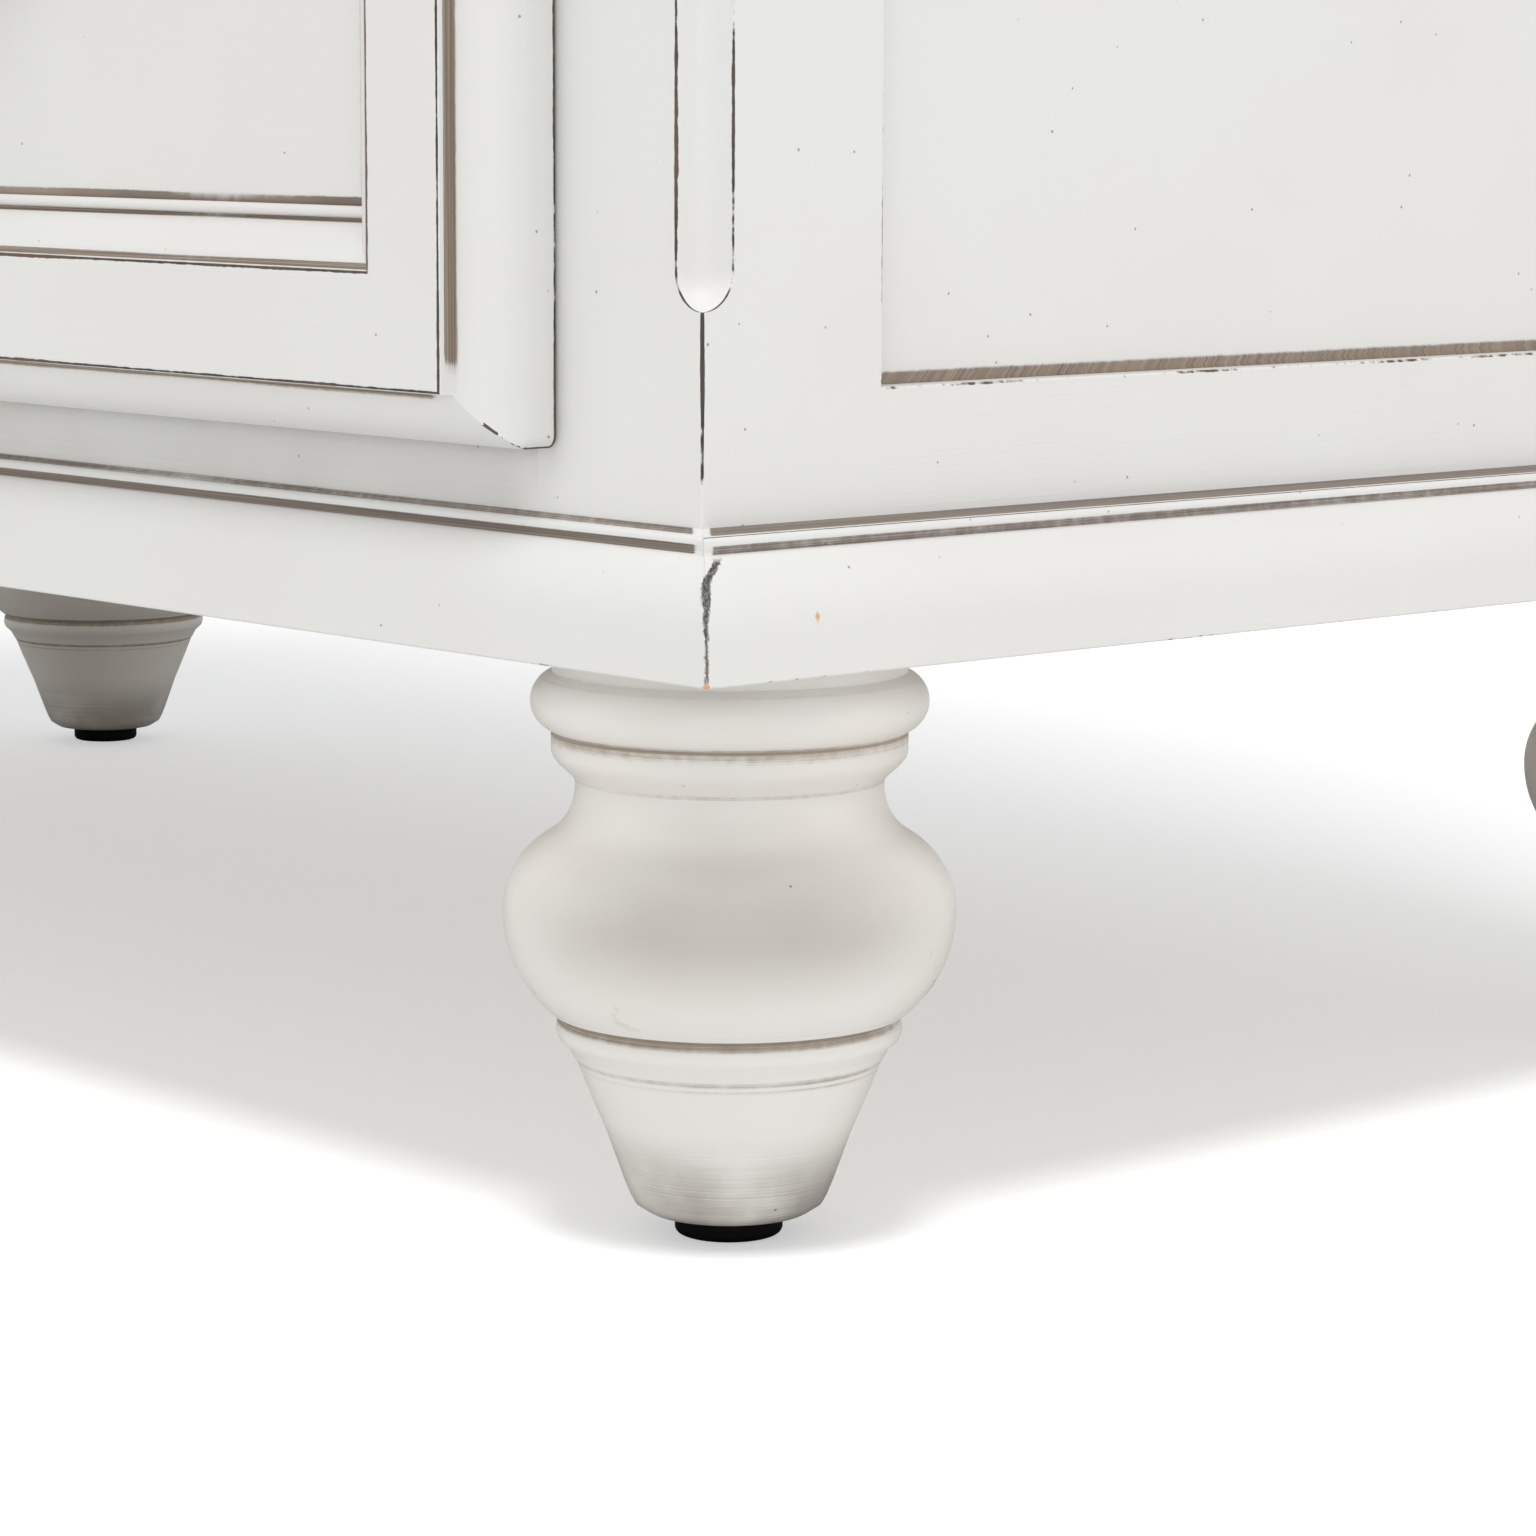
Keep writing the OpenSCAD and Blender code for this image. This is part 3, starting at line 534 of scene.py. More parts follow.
def settled(bm):
    """Moves the marks of a moulded length from its points to its corners, where the ends
    and the back can stay plain."""
    for name in mark_names:
        plain = bm.faces.layers.int["plain"]
        held = bm.verts.layers.float[name]
        shown = [face for face in bm.faces if not face[plain] and len(face.verts) <= 4]
        marks = [[loop.vert[held] for loop in face.loops] for face in shown]
        bm.verts.layers.float.remove(held)
        corner_mark = bm.loops.layers.float.new(name)
        for face, values in zip(shown, marks):
            for loop, value in zip(face.loops, values):
                loop[corner_mark] = value
    bm.verts.layers.int.remove(bm.verts.layers.int["station"])
    bm.faces.layers.int.remove(bm.faces.layers.int["plain"])
    bmesh.ops.recalc_face_normals(bm, faces=bm.faces)
    return bm


def wiped(bm, point, away, reach, near=None):
    """Thins the glaze of a moulded length towards a mitre. away is square to the mitre's
    plane, and near picks the vertices that are touched."""
    glaze = bm.verts.layers.float["glaze"]
    away = away.normalized()
    for share in (0.15, 0.7, 1.0):
        scored(bm, point + away * (reach * share), away)
    for vert in bm.verts:
        share = (vert.co - point).dot(away) / reach
        if share < 0.99 and (near is None or near(vert)):
            vert[glaze] *= 0.0 if share < 0.6 else 0.45


def handed(bm, side_name):
    """A right-hand mesh, made its own left-hand twin for the left side."""
    if side_name == "left":
        bmesh.ops.scale(bm, vec=(-1, 1, 1), verts=bm.verts)
        bmesh.ops.reverse_faces(bm, faces=bm.faces)
    return bm


case_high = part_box("side_stile_rear_right")[1]
half_w = case_high.x
face_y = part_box("face_rail_bottom")[0].y
back_y = case_high.y
corner = Vector((half_w, face_y, case_z * mm))
left_corner = Vector((-half_w, face_y, case_z * mm))
base_low, base_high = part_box("base_moulding_front")
base_h = (base_high.z - base_low.z) / mm
base_front = (face_y - base_low.y) / mm
base_side = (base_high.x - half_w) / mm
base_round_w = 10.5
base_round_h = 19.5
base_bead_r = 1.4
base_step_h = 5.5
base_wipe = 2.6 * mm


def base_outline(reach, low_glaze, high_glaze, scratch):
    """Outward from the case, then up, with how much glaze lies in the two hollows and
    how far the paint is scratched along the bead."""
    ledge = reach - base_round_w
    shoulder = base_h - base_step_h
    face_top = shoulder - base_round_h
    rounding = arc(ledge, face_top, base_round_w, 0, 78, 10, tall=base_round_h / base_round_w)
    bead_x = ledge - base_bead_r
    return (
        [(0, 0, 0, 0), (reach - 1.0, 0, 0, 0), (reach - 0.4, 0, 0.1, 0.5), (reach, 0.4, 0.1, 0.5),
         (reach, 1.4, 0, 0.1), (reach, face_top - 1, 0, 0)]
        + rounding
        + [(ledge + 1.0, shoulder - 0.3, 0.1, 0), (ledge + 0.2, shoulder - 0.2, low_glaze, 0),
           (ledge - 0.1, shoulder + 0.3, low_glaze, 0), (ledge, shoulder + 1.7, low_glaze, 0),
           (ledge, shoulder + 2.1, 0.1, 0)]
        + arc(bead_x, shoulder + 2.6, base_bead_r, 0, 60, 4)
        + [(bead_x + 0.7, shoulder + 3.9, 0, scratch), (bead_x + 0.3, shoulder + 4.0, 0, scratch),
           (bead_x + 0.1, shoulder + 4.05, 0, 0), (bead_x * 0.92, shoulder + 4.1, 0.1, 0),
           (bead_x * 0.8, shoulder + 4.2, high_glaze, 0), (0.6, base_h - 0.1, high_glaze, 0),
           (0, base_h, high_glaze, 0)]
    )


def mitre_crack(finish, fray, patches):
    """The mitre has opened, and the paint has broken away along it, wider at the top."""
    reach = math.hypot(base_front, base_side)
    x = finish.axis("X").size() - half_w
    y = finish.axis("Y") - face_y
    z = finish.axis("Z")
    hook = z.ramp(corner.z + 0.0245, corner.z + 0.031) * 0.0032
    crumbs = finish.noise(1300.0, 4.0)
    drift = (fray - 0.5) * 0.0018 + (crumbs - 0.5) * 0.0011
    off = (x * (base_front / reach) + y * (base_side / reach) - hook + drift).size()
    width = 0.0004 + z.ramp(corner.z + 0.012, corner.z + 0.024) * 0.0007 + (patches - 0.5) * 0.0008
    below = z.ramp(corner.z + 0.0312, corner.z + 0.0296)
    return (off - width).ramp(0.0003, -0.0003) * below * (0.78 + crumbs.ramp(0.4, 0.6) * 0.22)


def base_chips(finish, fray):
    """Two places where the moulding's wood shows: at the mitre's foot and on the side."""
    x, y, z = (finish.axis(name) for name in "XYZ")
    rough = (fray - 0.5) * 0.0022
    foot_gap = (x.size() - base_high.x).size() + (y - base_low.y).size() + (z - corner.z).size()
    side_gap = (y - chip_y).size() * 1.5 + (z - chip_z).size() + x.ramp(0.0, -0.1)
    return (foot_gap + rough).ramp(0.0022, 0.0014).most((side_gap + rough).ramp(0.0021, 0.0012))


chip_y = face_y + 22.4 * mm
chip_z = corner.z + 15.4 * mm
base_paint = paint_finish(
    "base_moulding_paint", mitre_crack, chips=base_chips, glaze_tones=("#7D6D5C", "#43382E")
)
mitre_square = Vector((base_front, base_side, 0))
run_length = 2 * (half_w + base_side * mm)
outline = base_outline(base_front, 1.0, 0.72, 0)
front_run = moulded(
    [(0, outline), (run_length, outline)], left_corner - X * base_side * mm, -Y, Z, X
)
mitres = ((corner, -mitre_square), (left_corner, Vector((base_front, -base_side, 0))))
for point, keep in mitres:
    cut_off(front_run, point, keep)
for point, keep in mitres:
    wiped(front_run, point, keep, base_wipe)
node = "base_moulding_front"
fit(node + "_run", settled(front_run), "carcass", "paint", base_paint, node)
for side_name in ("left", "right"):
    reach = back_y - face_y + base_front * mm
    outline = base_outline(base_side, 0.72, 1.05, 0.9)
    start = Vector((half_w, back_y, corner.z))
    side_run = moulded([(0, outline), (reach, outline)], start, X, Z, -Y)
    cut_off(side_run, corner, mitre_square)
    wiped(side_run, corner, mitre_square, base_wipe)
    node = "base_moulding_" + side_name
    fit(node + "_run", handed(settled(side_run), side_name), "carcass", "paint", base_paint, node)


# ---- Corner stiles ----
# The front corners are two boards glued at a mitre, with a stopped round flute
# run down the arris. The side stile also has the groove for the side panel.
board_t = 20.0
ease = 0.5
panel_t = 6.0
panel_play = 0.15
panel_near = 8.0 - panel_play
panel_far = 8.0 + panel_t + panel_play
groove_d = 8.0
flute_r = 10.0
flute_bottom = 245.0
flute_top = case_high.z / mm - 100.0
faint_below = 200.0
worn_above = 220.0
face_stile_w = (half_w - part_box("face_stile_right")[0].x) / mm
side_stile_w = (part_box("side_stile_front_right")[1].y - face_y) / mm


def grooved_edge(width, soft=ease, rub=0.62):
    """A frame member's sight edge, from its face to its back: (from its outer edge, depth)."""
    return [
        (width - 1.6, 0, 0, 0), (width - soft, 0, 0, rub), (width, soft, 0, rub),
        (width, ease + 0.9, 0, 0), (width, panel_near, rub * 0.4, 0),
        (width - groove_d, panel_near, 0, 0), (width - groove_d, panel_far, 0, 0),
        (width, panel_far, 0, 0), (width, board_t, 0, 0),
    ]


def plain_edge(width, soft=ease, rub=0.55):
    """A sight edge without a groove."""
    return [
        (width - 1.6, 0, 0, 0), (width - soft, 0, 0, rub), (width, soft, 0, rub),
        (width, ease + 0.9, 0, 0), (width, board_t, 0, 0),
    ]


def corner_outline(reach, rub, edge):
    """Half of the fluted corner: reach is the flute's radius at this height."""
    lead = min(0.3, reach * 0.3)
    turn = math.degrees(lead / reach)
    groove = arc(0, 0, reach, 45, turn + 8, 6, rub=rub if reach < 1 else 0)
    near = arc(0, 0, reach, turn, turn, 1, rub=rub)[:1]
    return groove + near + [
        (reach + lead, 0, 0, rub), (reach + lead + 0.9, 0, 0, 0.0), (reach + 6, 0, 0, 0),
    ] + edge + [(board_t, board_t, 0, 0)]


least_r = 0.35
flute_low = flute_bottom + flute_r
flute_high = flute_top - flute_r
swell = [flute_r * math.cos(math.radians(90 * i / 14)) for i in range(15)]
corner_heights = (
    [case_z, faint_below - 4, faint_below + 6, worn_above + 12]
    + [flute_low - rise for rise in swell]
    + [flute_high + rise for rise in reversed(swell)] + [case_high.z / mm]
)


def flute_reach(z):
    """Radius of the stopped flute at a height: a round groove with ball ends."""
    beyond = max(0.0, flute_low - z, z - flute_high)
    return max(least_r, math.sqrt(max(0.0, flute_r ** 2 - beyond ** 2)))


def arris_rub(z):
    """How far the arris is rubbed: hardest just below the flute."""
    if z < flute_bottom:
        return 0.2 if z < faint_below else 0.75 if z < worn_above else 1.15
    return 0.8 if z < flute_top else 0.5


def stile_sections(heights, openings, outline_at):
    """Sections up a stile. Its sight edge is eased only beside the openings, where it
    shows; beside a rail it is left square and flush."""
    slip = 0.02
    changes = [z + d for pair in openings for z in pair for d in (-slip, slip)]
    return [
        ((z - case_z) * mm, outline_at(z, any(low < z < high for low, high in openings)))
        for z in sorted(heights + changes)
    ]


def box_level(node, end):
    """The height of a node's underside (0) or top (1), in millimetres."""
    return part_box(node)[end].z / mm


case_paint = paint_finish("case_paint")
side_openings = [(box_level("side_rail_bottom_right", 1), box_level("side_rail_top_right", 0))]
face_openings = [
    (box_level("face_rail_bottom", 1), box_level("face_rail_middle", 0)),
    (box_level("face_rail_middle", 1), box_level("face_rail_top", 0)),
]
corner_boards = (
    ("face_stile", plain_edge, face_stile_w, face_openings, (-X, Y)),
    ("side_stile_front", grooved_edge, side_stile_w, side_openings, (Y, -X)),
)
for stile, edge_at, width, openings, axes in corner_boards:
    for side_name in ("left", "right"):
        def corner_at(z, is_open):
            edge = edge_at(width) if is_open else edge_at(width, 0.02, 0.0)
            return corner_outline(flute_reach(z), arris_rub(z), edge)

        sections = stile_sections(corner_heights, openings, corner_at)
        post = handed(settled(moulded(sections, corner, *axes, Z)), side_name)
        node = stile + "_" + side_name
        fit(node + "_board", post, "carcass", "paint", case_paint, node)


# ---- Rails and rear stiles ----
# Solid pine rails and stiles, mortised together flush. Only the arrises that
# show round the openings are eased; the paint bridges the joints.
def board(low, high, eased=(), width=0.8 * mm, rub=0.55):
    """A sawn board between two corners. eased lists its softened edges, each as the two
    planes that meet there, {axis: place}."""
    bm = bmesh.new()
    size = high - low
    block = Matrix.Translation((low + high) / 2) @ Matrix.Diagonal((*size, 1))
    bmesh.ops.create_cube(bm, size=1.0, matrix=block)
    marks = {name: bm.loops.layers.float.new(name) for name in mark_names}
    edges = [
        edge for edge in bm.edges
        if any(
            all(abs(vert.co[i] - at) < 1e-5 for vert in edge.verts for i, at in planes.items())
            for planes in eased
        )
    ]
    if edges:
        made = bmesh.ops.bevel(
            bm, geom=edges, offset=width, offset_type="OFFSET", segments=2,
            affect="EDGES", profile=0.5, material=-1,
        )
        for face in made["faces"]:
            for loop in face.loops:
                loop[marks["rub"]] = rub
    longest = max(range(3), key=lambda i: size[i])
    for face in bm.faces:
        for loop in face.loops:
            loop[marks["across"]] = sum(loop.vert.co) - loop.vert.co[longest]
    bmesh.ops.recalc_face_normals(bm, faces=bm.faces)
    return bm


def rail_painted_shade(finish, hairs, patches):
    """Painted shade on the rail under the drawer front's lip, darkest just above the base moulding and
    fading out at the stiles.
    """
    z = finish.axis("Z")
    ends = finish.axis("X").size().ramp(0.436, 0.42)
    return z.ramp(0.215, 0.192) * ends * (0.22 + (hairs - 0.5) * 0.3 + (patches - 0.5) * 0.3)


# The bottom face rail's paint carries the painted shade under the drawer front's lip.
shaded_rail_paint = paint_finish("low_rail_shaded_paint", darkening=rail_painted_shade)
rebate_w = 6.0
for name, at_low, at_high in (("top", True, False), ("middle", True, True), ("bottom", False, True)):
    node = "face_rail_" + name
    low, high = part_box(node)
    eased = [{1: low.y, 2: low.z}] * at_low + [{1: low.y, 2: high.z}] * at_high
    rail_finish = shaded_rail_paint if name == "bottom" else case_paint
    fit(node + "_board", board(low, high, eased), "carcass", "paint", rail_finish, node)
for side_name in ("left", "right"):
    for level in ("bottom", "top"):
        node = "side_rail_{}_{}".format(level, side_name)
        low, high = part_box("side_rail_{}_right".format(level))
        width = (high.z - low.z) / mm
        outline = [(0, 0, 0, 0)] + grooved_edge(width) + [(0, board_t, 0, 0)]
        start = Vector((half_w, low.y, low.z if level == "bottom" else high.z))
        inward = Z if level == "bottom" else -Z
        rail = settled(moulded([(0, outline), (high.y - low.y, outline)], start, inward, -X, Y))
        fit(node + "_board", handed(rail, side_name), "carcass", "paint", case_paint, node)
    node = "side_stile_rear_" + side_name
    low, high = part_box("side_stile_rear_right")
    width = (high.y - low.y) / mm

    def rear_at(z, is_open):
        edge = grooved_edge(width) if is_open else grooved_edge(width, 0.02, 0.0)
        return [(0, 0, 0, 0)] + edge + [
            (rebate_w, board_t, 0, 0), (rebate_w, board_t / 2, 0, 0), (0, board_t / 2, 0, 0),
        ]

    rear_corner = Vector((half_w, back_y, low.z))
    sections = stile_sections([low.z / mm, high.z / mm], side_openings, rear_at)
    post = handed(settled(moulded(sections, rear_corner, -Y, -X, Z)), side_name)
    fit(node + "_board", post, "carcass", "paint", case_paint, node)


# ---- Flat panels ----
# Thin painted sheets, loose in the grooves of their frames. The glaze was wiped
# off the field and left along the edges, against the frame.
def sheet(low, high, thin, sight, band):
    """A flat panel. thin is the axis of its thickness, sight how far its frame covers it,
    and band how wide the glaze lies along the frame, in metres."""
    bm = board(low, high)
    glaze = bm.loops.layers.float["glaze"]
    flats = [face for face in bm.faces if abs(face.normal[thin]) > 0.5]
    for face in flats:
        for inset in (sight - 0.0002, 0.0004, band * 0.6, band * 0.4):
            bmesh.ops.inset_region(bm, faces=[face], thickness=inset, use_even_offset=True)
    axes = [i for i in range(3) if i != thin]
    for face in bm.faces:
        if abs(face.normal[thin]) < 0.5:
            continue
        for loop in face.loops:
            at = loop.vert.co
            depth = min(min(at[i] - low[i], high[i] - at[i]) for i in axes) - sight
            loop[glaze] = max(0.0, min(1.0, (1.0 - depth / band) * 2.5))
    return bm


side_panel_paint = paint_finish("side_panel_paint")
groove_play = 0.3 * mm
for side_name in ("left", "right"):
    node = "side_panel_" + side_name
    low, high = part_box(node)
    panel = sheet(low, high, 0, groove_d * mm - groove_play, 3.9 * mm)
    fit(node + "_sheet", panel, "carcass", "paint", side_panel_paint, node)
low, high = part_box("back_panel")
back_edges = [{i: a, 1: high.y} for i, a in ((0, low.x), (0, high.x), (2, low.z), (2, high.z))]
back = board(low, high, back_edges, 0.5 * mm)
fit("back_panel_sheet", back, "carcass", "paint", case_paint, "back_panel")


# ---- Floor, deck, shelf and runners ----
# Edge-glued pine boards, planed and clear sealed, screwed and glued between the
# frames. The runners are L-shaped lengths that carry and guide the drawer.
def wood_finish(name, run):
    """Clear-sealed pine sawn along one axis of the frame."""
    finish = Finish(name)
    stretch = [1.0, 1.0, 1.0]
    stretch[run] = 0.07
    grain = finish.node("ShaderNodeMapping", {}, {"Vector": finish.place, "Scale": stretch})
    drift = finish.noise(11.0, 3.0, grain)
    rings = (drift * 95.0).wave() * 0.5 + 0.5
    pores = finish.noise(900.0, 2.0, grain)
    tone = finish.noise(3.0, 2.0)
    pale = finish.mix(srgb("#D9CAB0"), srgb("#CFBEA2"), tone)
    colour = finish.mix(pale, srgb("#B29A78"), rings.ramp(0.25, 1.0) * 0.55)
    colour = finish.mix(colour, srgb("#8F7A5E"), pores.ramp(0.62, 0.8) * 0.5)
    relief = 0.5 + rings * 0.2 - pores.ramp(0.55, 0.8) * 0.5
    return finish.shade(colour, 0.46 + pores * 0.1, relief=relief, depth=0.1 * mm)


wood_x = wood_finish("pine_across", 0)
wood_y = wood_finish("pine_deep", 1)
for node in ("floor_board", "deck_board", "hat_shelf"):
    low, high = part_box(node)
    eased = [{1: low.y, 2: low.z}, {1: low.y, 2: high.z}]
    fit(node + "_boards", board(low, high, eased, 1.2 * mm), "carcass", "bare_wood", wood_x, node)

runner_low, runner_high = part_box("drawer_runners")
rod_low, rod_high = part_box("hanging_rod")
cleat_low, cleat_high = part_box("shelf_cleats")
drawer_side_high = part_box("drawer_side_right")[1]
guide_x = drawer_side_high.x + 0.5 * mm
ledge_w = 24 * mm
ledge_top = runner_low.z + 16 * mm
rod_pocket = 11.7 * mm
cleat_x = rod_high.x - rod_pocket
runners = []
cleats = []
for side_name in ("left", "right"):
    ledge = board(
        Vector((guide_x - ledge_w, *runner_low.yz)), Vector((*runner_high.xy, ledge_top))
    )
    guide = board(
        Vector((guide_x, runner_low.y, ledge_top)), runner_high, [{0: guide_x, 2: runner_high.z}], 2 * mm
    )
    cleat = board(
        Vector((cleat_x, *cleat_low.yz)), cleat_high, [{0: cleat_x, 2: cleat_low.z}], 2 * mm
    )
    runners += [handed(ledge, side_name), handed(guide, side_name)]
    cleats.append(handed(cleat, side_name))
fit("drawer_runner_pair", joined(runners), "carcass", "bare_wood", wood_y, "drawer_runners")
fit("shelf_cleat_pair", joined(cleats), "carcass", "bare_wood", wood_y, "shelf_cleats")


# ---- Hanging rod ----
# A plated steel tube whose ends sit in round pockets in the cleats.
def steel_finish():
    finish = Finish("plated_steel")
    grain = {"Vector": finish.place, "Scale": (0.04, 1.0, 1.0)}
    lines = finish.noise(1500.0, 2.0, finish.node("ShaderNodeMapping", {}, grain))
    haze = finish.noise(18.0, 4.0)
    colour = finish.mix(srgb("#C9C7C2"), srgb("#9F9C96"), lines.ramp(0.3, 0.75) * 0.6)
    return finish.shade(colour, 0.26 + haze * 0.16, 1.0, lines, 0.02 * mm)


rod_length = (rod_high.x - rod_low.x) / mm
rod_r = (rod_high.z - rod_low.z) / 2 / mm
rod_bore = rod_r - 1.2
rod_centre = (rod_low + rod_high) / 2
rod_outline = [
    (0, 1.0, 0, 0), (rod_bore, 1.0, 0, 0), (rod_bore, 0, 0, 0), (rod_r - 0.3, 0, 0, 0),
    (rod_r, 0.3, 0, 0), (rod_r, rod_length - 0.3, 0, 0), (rod_r - 0.3, rod_length, 0, 0),
    (rod_bore, rod_length, 0, 0), (rod_bore, rod_length - 1.0, 0, 0), (0, rod_length - 1.0, 0, 0),
]
rod = turned(rod_outline, steps=64)
lay_down = Matrix.Translation((rod_low.x, *rod_centre.yz)) @ Matrix.Rotation(math.pi / 2, 4, "Y")
bmesh.ops.transform(rod, matrix=lay_down, verts=rod.verts)
fit("hanging_rod_tube", rod, "carcass", "steel", steel_finish(), "hanging_rod")


# ---- Top board and cornice ----
# The top board caps the case. The cornice is a bead, a deep cove and a square
# top edge, planted round three sides and mitred like the base moulding.
low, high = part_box("top_board")
fit("top_board_cap", board(low, high), "carcass", "paint", case_paint, "top_board")
cornice_low, cornice_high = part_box("cornice_front")
cornice_h = (cornice_high.z - cornice_low.z) / mm
cornice_reach = (face_y - cornice_low.y) / mm
cove_r = cornice_reach - 16.0


def cornice_outline():
    """Outward from the case, then up."""
    return (
        [(0, 0, 0.8, 0), (0.4, 0, 0.3, 0), (5.2, 0, 0, 0.3), (5.7, 0.3, 0, 0.6), (6, 0.8, 0, 0.3),
         (6, 4.6, 0, 0), (6, 5.2, 0.9, 0), (6, 6, 1, 0)]
        + arc(6, 10, 4, -86, 86, 10)
        + [(6.3, 14.0, 1, 0), (8, 14.2, 0.9, 0), (9.6, 14.6, 0.1, 0.3)]
        + arc(10 + cove_r, 16, cove_r, 179, 101, 20)
        + [(cornice_reach - 11, 59.6, 0.9, 0), (cornice_reach - 9.6, 59.7, 0.9, 0),
           (cornice_reach - 8, 59.8, 0, 0), (cornice_reach - 3.8, 60, 0, 0.2),
           (cornice_reach - 3, 60.1, 0, 0.6), (cornice_reach - 0.4, 62.6, 0, 0.6),
           (cornice_reach, 63.4, 0, 0.2), (cornice_reach, 66, 0, 0),
           (cornice_reach, cornice_h - 1.6, 0, 0),
           (cornice_reach, cornice_h - 0.7, 0, 0.6), (cornice_reach - 0.7, cornice_h, 0, 0.6),
           (cornice_reach - 1.8, cornice_h, 0, 0), (0, cornice_h, 0, 0)]
    )


cornice_mitre = Vector((1, 1, 0))
cornice_corner = Vector((half_w, face_y, cornice_low.z))
reach = cornice_reach * mm
outline = cornice_outline()
start = Vector((-half_w - reach, face_y, cornice_low.z))
front_run = moulded([(0, outline), (2 * (half_w + reach), outline)], start, -Y, Z, X)
cut_off(front_run, cornice_corner, -cornice_mitre)
cut_off(front_run, left_corner, Vector((1, -1, 0)))
fit("cornice_front_run", settled(front_run), "carcass", "paint", case_paint, "cornice_front")
for side_name in ("left", "right"):
    start = Vector((half_w, back_y, cornice_low.z))
    side_run = moulded([(0, outline), (back_y - face_y + reach, outline)], start, X, Z, -Y)
    cut_off(side_run, cornice_corner, cornice_mitre)
    node = "cornice_" + side_name
    fit(node + "_run", handed(settled(side_run), side_name), "carcass", "paint", case_paint, node)


# ---- Framed fronts ----
# The doors and the drawer front are frames of moulded pine, mitred and glued
# round a flat panel. Outside to inside: rounded lip, step, flat, ovolo and bead.
front_low, front_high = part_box("drawer_stile_right")
front_t = (front_high.y - front_low.y) / mm
member_w = (front_high.x - front_low.x) / mm
lip_w = 14.0
flat_w = 30.3
step_d = 4.5
front_recess = 12.5
front_groove_d = 8.0
lip_curve_r = 21.0
ovolo_r = 16.0
lip_corner_r = 3.5 * mm
step_wipe = 7.5 * mm
lip_rise = 13.0
worn_mitre = 7.0 * mm


def arc_through(a, b, radius, steps, glaze=0.0, rub=0.0):
    """A convex arc from a to b, its centre on their right."""
    start, end = Vector(a), Vector(b)
    along = end - start
    rise = math.sqrt(radius ** 2 - along.length_squared / 4)
    centre = (start + end) / 2 + Vector((along.y, -along.x)).normalized() * rise
    first = math.degrees(math.atan2(start.y - centre.y, start.x - centre.x))
    last = math.degrees(math.atan2(end.y - centre.y, end.x - centre.x))
    return arc(centre.x, centre.y, radius, first, last, steps, glaze, rub)


def member_outline():
    """Inward from the outer edge, then forward from the back."""
    top = front_t
    quirk = top - step_d
    flat_end = lip_w + flat_w
    bead_back = top - front_recess
    lip = arc_through((0, 8.0), (lip_w - 1.2, quirk), lip_curve_r, 16)
    lip = lip[:-1] + [(*lip[-1][:2], 0.8, 0)]
    groove_low = bead_back - panel_t - panel_play
    groove_high = bead_back + panel_play
    ovolo_low = (member_w - 4.7, bead_back + 2.0)
    return (
        # The rub on these first points, at the back of the lip's edge where it meets the case, lays a
        # dark strip. It is partly worn glaze and partly painted shade of the gap behind the lip.
        [(0, 0, 0, 0.85), (0, 0.5, 0, 0.8), (0, 1.3, 0, 0.1), (0, 2.4, 0, 0)] + lip
        + [(lip_w - 0.5, quirk + 0.2, 1, 0), (lip_w - 0.2, quirk + 0.9, 1, 0),
           (lip_w - 0.15, top - 1.9, 1, 0), (lip_w - 0.1, top - 1.4, 0.1, 0),
           (lip_w - 0.05, top - 0.5, 0, 0.2),
           (lip_w + 0.25, top - 0.1, 0, 0.95), (lip_w + 0.6, top, 0, 0.85), (lip_w + 1.6, top, 0, 0),
           (flat_end - 1.6, top, 0, 0), (flat_end - 0.6, top, 0, 0.85),
           (flat_end - 0.25, top - 0.1, 0, 0.95), (flat_end, top - 0.4, 0, 0.3),
           (flat_end + 0.1, top - 0.7, 0.1, 0),
           (flat_end + 0.3, top - 1.1, 1, 0), (flat_end + 1.5, top - 1.4, 1, 0)]
        + arc_through((flat_end + 2.1, top - 1.4), ovolo_low, ovolo_r, 9)
        + [(ovolo_low[0] + 0.2, ovolo_low[1] - 0.5, 0.9, 0), (ovolo_low[0] + 0.6, bead_back + 0.7, 1, 0),
           (member_w - 3.5, bead_back + 0.7, 0.9, 0)]
        + arc(member_w - 1.8, bead_back + 0.8, 1.6, 165, 20, 8)
        + [(member_w - 0.25, bead_back + 0.8, 0.9, 0), (member_w - 0.2, groove_high, 1, 0),
           (member_w - front_groove_d, groove_high, 0, 0),
           (member_w - front_groove_d, groove_low, 0, 0),
           (member_w - 0.2, groove_low, 0, 0), (member_w - 0.2, 0, 0, 0)]
    )


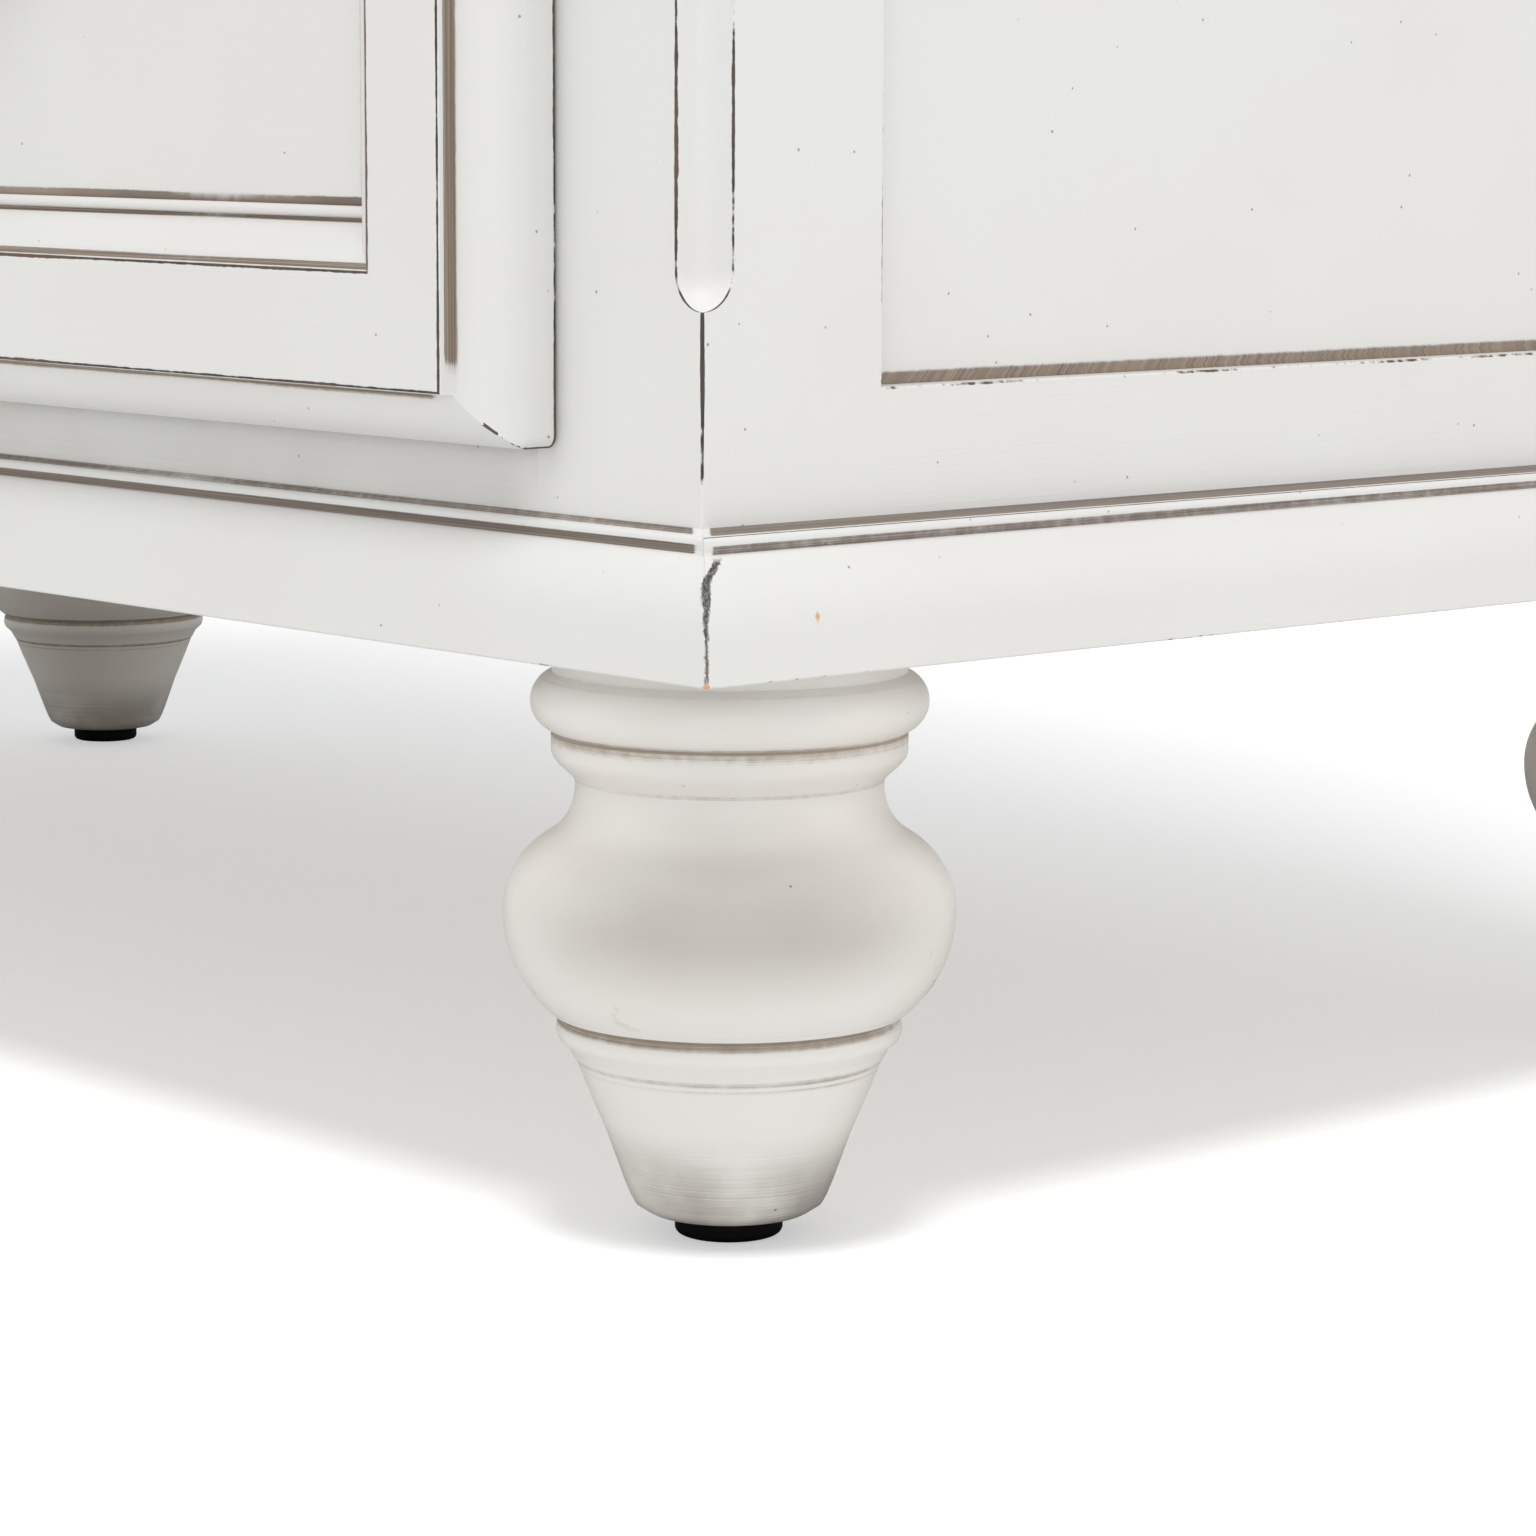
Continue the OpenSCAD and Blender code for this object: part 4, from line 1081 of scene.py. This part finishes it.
def rounded_corner(bm, point, run, inward):
    """Rounds the outer corner of a frame, as seen from the front, at one end of a member.
    The rail's half of the lip is rubbed bare there, and both are along their mitre."""
    for share in (0.2, 0.4, 0.6, 0.8, 1.0, 2.4):
        scored(bm, point + run * (lip_corner_r * share), run)
    rub = bm.verts.layers.float["rub"]
    for vert in bm.verts:
        off = vert.co - point
        gap = Vector((lip_corner_r - off.dot(run), lip_corner_r - off.dot(inward)))
        rise = (front_high.y - vert.co.y) / mm
        if min(gap) > lip_corner_r * 0.1:
            if rise < lip_rise and abs(run.x) > 0.5:
                vert[rub] = max(vert[rub], 1.0 if gap.x < lip_corner_r * 0.7 else 0.3)
            if gap.length > lip_corner_r:
                shift = gap.length - lip_corner_r
                gap.normalize()
                vert.co += (run * gap.x + inward * gap.y) * shift
        elif off.dot(run - inward) < 1e-5 and off.dot(inward) < worn_mitre:
            vert[rub] = max(vert[rub], 1.0)


def framed_front(body, x0, x1, z0, z1, names):
    """The four members and the panel of a door or a drawer front. names gives the CAD
    node of the bottom, right, top and left member, then of the panel."""
    outline = member_outline()
    back = front_high.y
    members = (
        (Vector((x0, back, z0)), X, Z, x1 - x0), (Vector((x1, back, z0)), Z, -X, z1 - z0),
        (Vector((x1, back, z1)), -X, -Z, x1 - x0), (Vector((x0, back, z1)), -Z, X, z1 - z0),
    )
    for node, (start, run, inward, length) in zip(names, members):
        member = moulded([(0, outline), (length, outline)], start, inward, -Y, run)
        end = start + run * length
        cut_off(member, start, run - inward)
        cut_off(member, end, -run - inward)

        def in_step(vert):
            return abs((vert.co - start).dot(inward) / mm - lip_w) < 2.5

        for point, along in ((start, run), (end, -run)):
            wiped(member, point, along - inward, step_wipe, in_step)
            rounded_corner(member, point, along, inward)
        fit(node + "_member", settled(member), body, "paint", front_paint, node)
    low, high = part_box(names[4])
    panel = sheet(low, high, 1, front_groove_d * mm - groove_play, 2.3 * mm)
    fit(names[4] + "_sheet", panel, body, "paint", front_paint, names[4])


front_paint = paint_finish("front_paint")
low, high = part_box("drawer_rail_bottom")
drawer_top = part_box("drawer_rail_top")[1].z
names = ["rail_bottom", "stile_right", "rail_top", "stile_left", "panel"]
framed_front("drawer", low.x, high.x, low.z, drawer_top, ["drawer_" + name for name in names])
for side_name in ("left", "right"):
    door = "door_" + side_name
    low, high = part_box(door + "_rail_bottom")
    door_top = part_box(door + "_rail_top")[1].z
    right, left = ("inner", "outer") if side_name == "left" else ("outer", "inner")
    names = ["rail_bottom", "stile_" + right, "rail_top", "stile_" + left, "panel"]
    framed_front(door, low.x, high.x, low.z, door_top, [door + "_" + name for name in names])


# ---- Drawer box ----
# Pine sides and back with rounded top edges, and a thin bottom slid into their
# grooves, glued to the back of the framed front.
for node, thin, grain in (
    ("drawer_side_left", 0, wood_y), ("drawer_side_right", 0, wood_y),
    ("drawer_back", 1, wood_x), ("drawer_bottom", None, wood_x),
):
    low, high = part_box(node)
    eased = [] if thin is None else [{thin: end[thin], 2: high.z} for end in (low, high)]
    fit(node + "_board", board(low, high, eased, 2.5 * mm), "drawer", "bare_wood", grain, node)


# ---- Knobs ----
# Cast brass, patinated dark brown, with the high places rubbed brighter. A
# screw from behind holds each one against its front.
def bronze_finish():
    finish = Finish("dark_bronze")
    patina = finish.noise(120.0, 5.0)
    pits = finish.noise(900.0, 3.0)
    rub = finish.mark("rub")
    bright = (rub + (patina - 0.5) * 0.8).ramp(0.45, 0.95)
    colour = finish.mix(srgb("#43362C"), srgb("#2C241F"), patina.ramp(0.35, 0.7))
    colour = finish.mix(colour, srgb("#8F7656"), bright * 0.75)
    roughness = 0.46 + (patina - 0.5) * 0.3 - bright * 0.14
    return finish.shade(colour, roughness, 0.85, pits, 0.06 * mm)


def knob_outline():
    """Radius, then height above the front."""
    return (
        [(0, 0, 0, 0), (10.4, 0, 0, 0.2), (11, 0.5, 0, 0.8), (11, 1.2, 0, 0.8), (10.3, 1.9, 0, 0.3),
         (8.6, 2.6, 0, 0), (6.8, 3.7, 0, 0), (5.9, 5.2, 0, 0), (5.6, 7.5, 0, 0), (5.5, 10.2, 0, 0),
         (6.1, 11.0, 0, 0.5), (7.6, 11.4, 0, 0.7), (8.0, 11.9, 0, 0.3)]
        + arc(7.0, 18.0, 8.0, -48, 60, 16, rub=0.35)
        + [(9.4, 25.6, 0, 0.5), (6.0, 26.5, 0, 0.55), (3.0, 26.9, 0, 0.55), (0, 27.0, 0, 0.55)]
    )


bronze = bronze_finish()


def knobs(node, body, places):
    made = []
    for place in places:
        knob = turned(knob_outline(), steps=72)
        stand_out = Matrix.Translation(place) @ Matrix.Rotation(math.pi / 2, 4, "X")
        bmesh.ops.transform(knob, matrix=stand_out, verts=knob.verts)
        made.append(knob)
    fit(node + "_turning", joined(made), body, "bronze", bronze, node)


for side_name in ("left", "right"):
    node = "door_{}_knob".format(side_name)
    low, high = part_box(node)
    middle = (low + high) / 2
    knobs(node, "door_" + side_name, [Vector((middle.x, high.y, middle.z))])
low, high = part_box("drawer_knobs")
knob_r = (high.z - low.z) / 2
level = (low.z + high.z) / 2
places = [Vector((x, high.y, level)) for x in (low.x + knob_r, high.x - knob_r)]
knobs("drawer_knobs", "drawer", places)


# ---- Hinges and catches ----
# Bronzed steel butt hinges with ball finials: the fixed leaf is screwed to the
# face frame and the other to the door's edge. Magnet catches sit in the head.
catch_plastic = plastic_finish("catch_plastic", "#3A3835", "#5A5853", 0.5)
for node, material, slot in (
    ("hinge_posts", bronze, "bronze"), ("door_left_hinge_leaves", bronze, "bronze"),
    ("door_right_hinge_leaves", bronze, "bronze"), ("magnet_catches", catch_plastic, "catch"),
):
    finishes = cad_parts[node].data.materials
    finishes.clear()
    finishes.append(material)
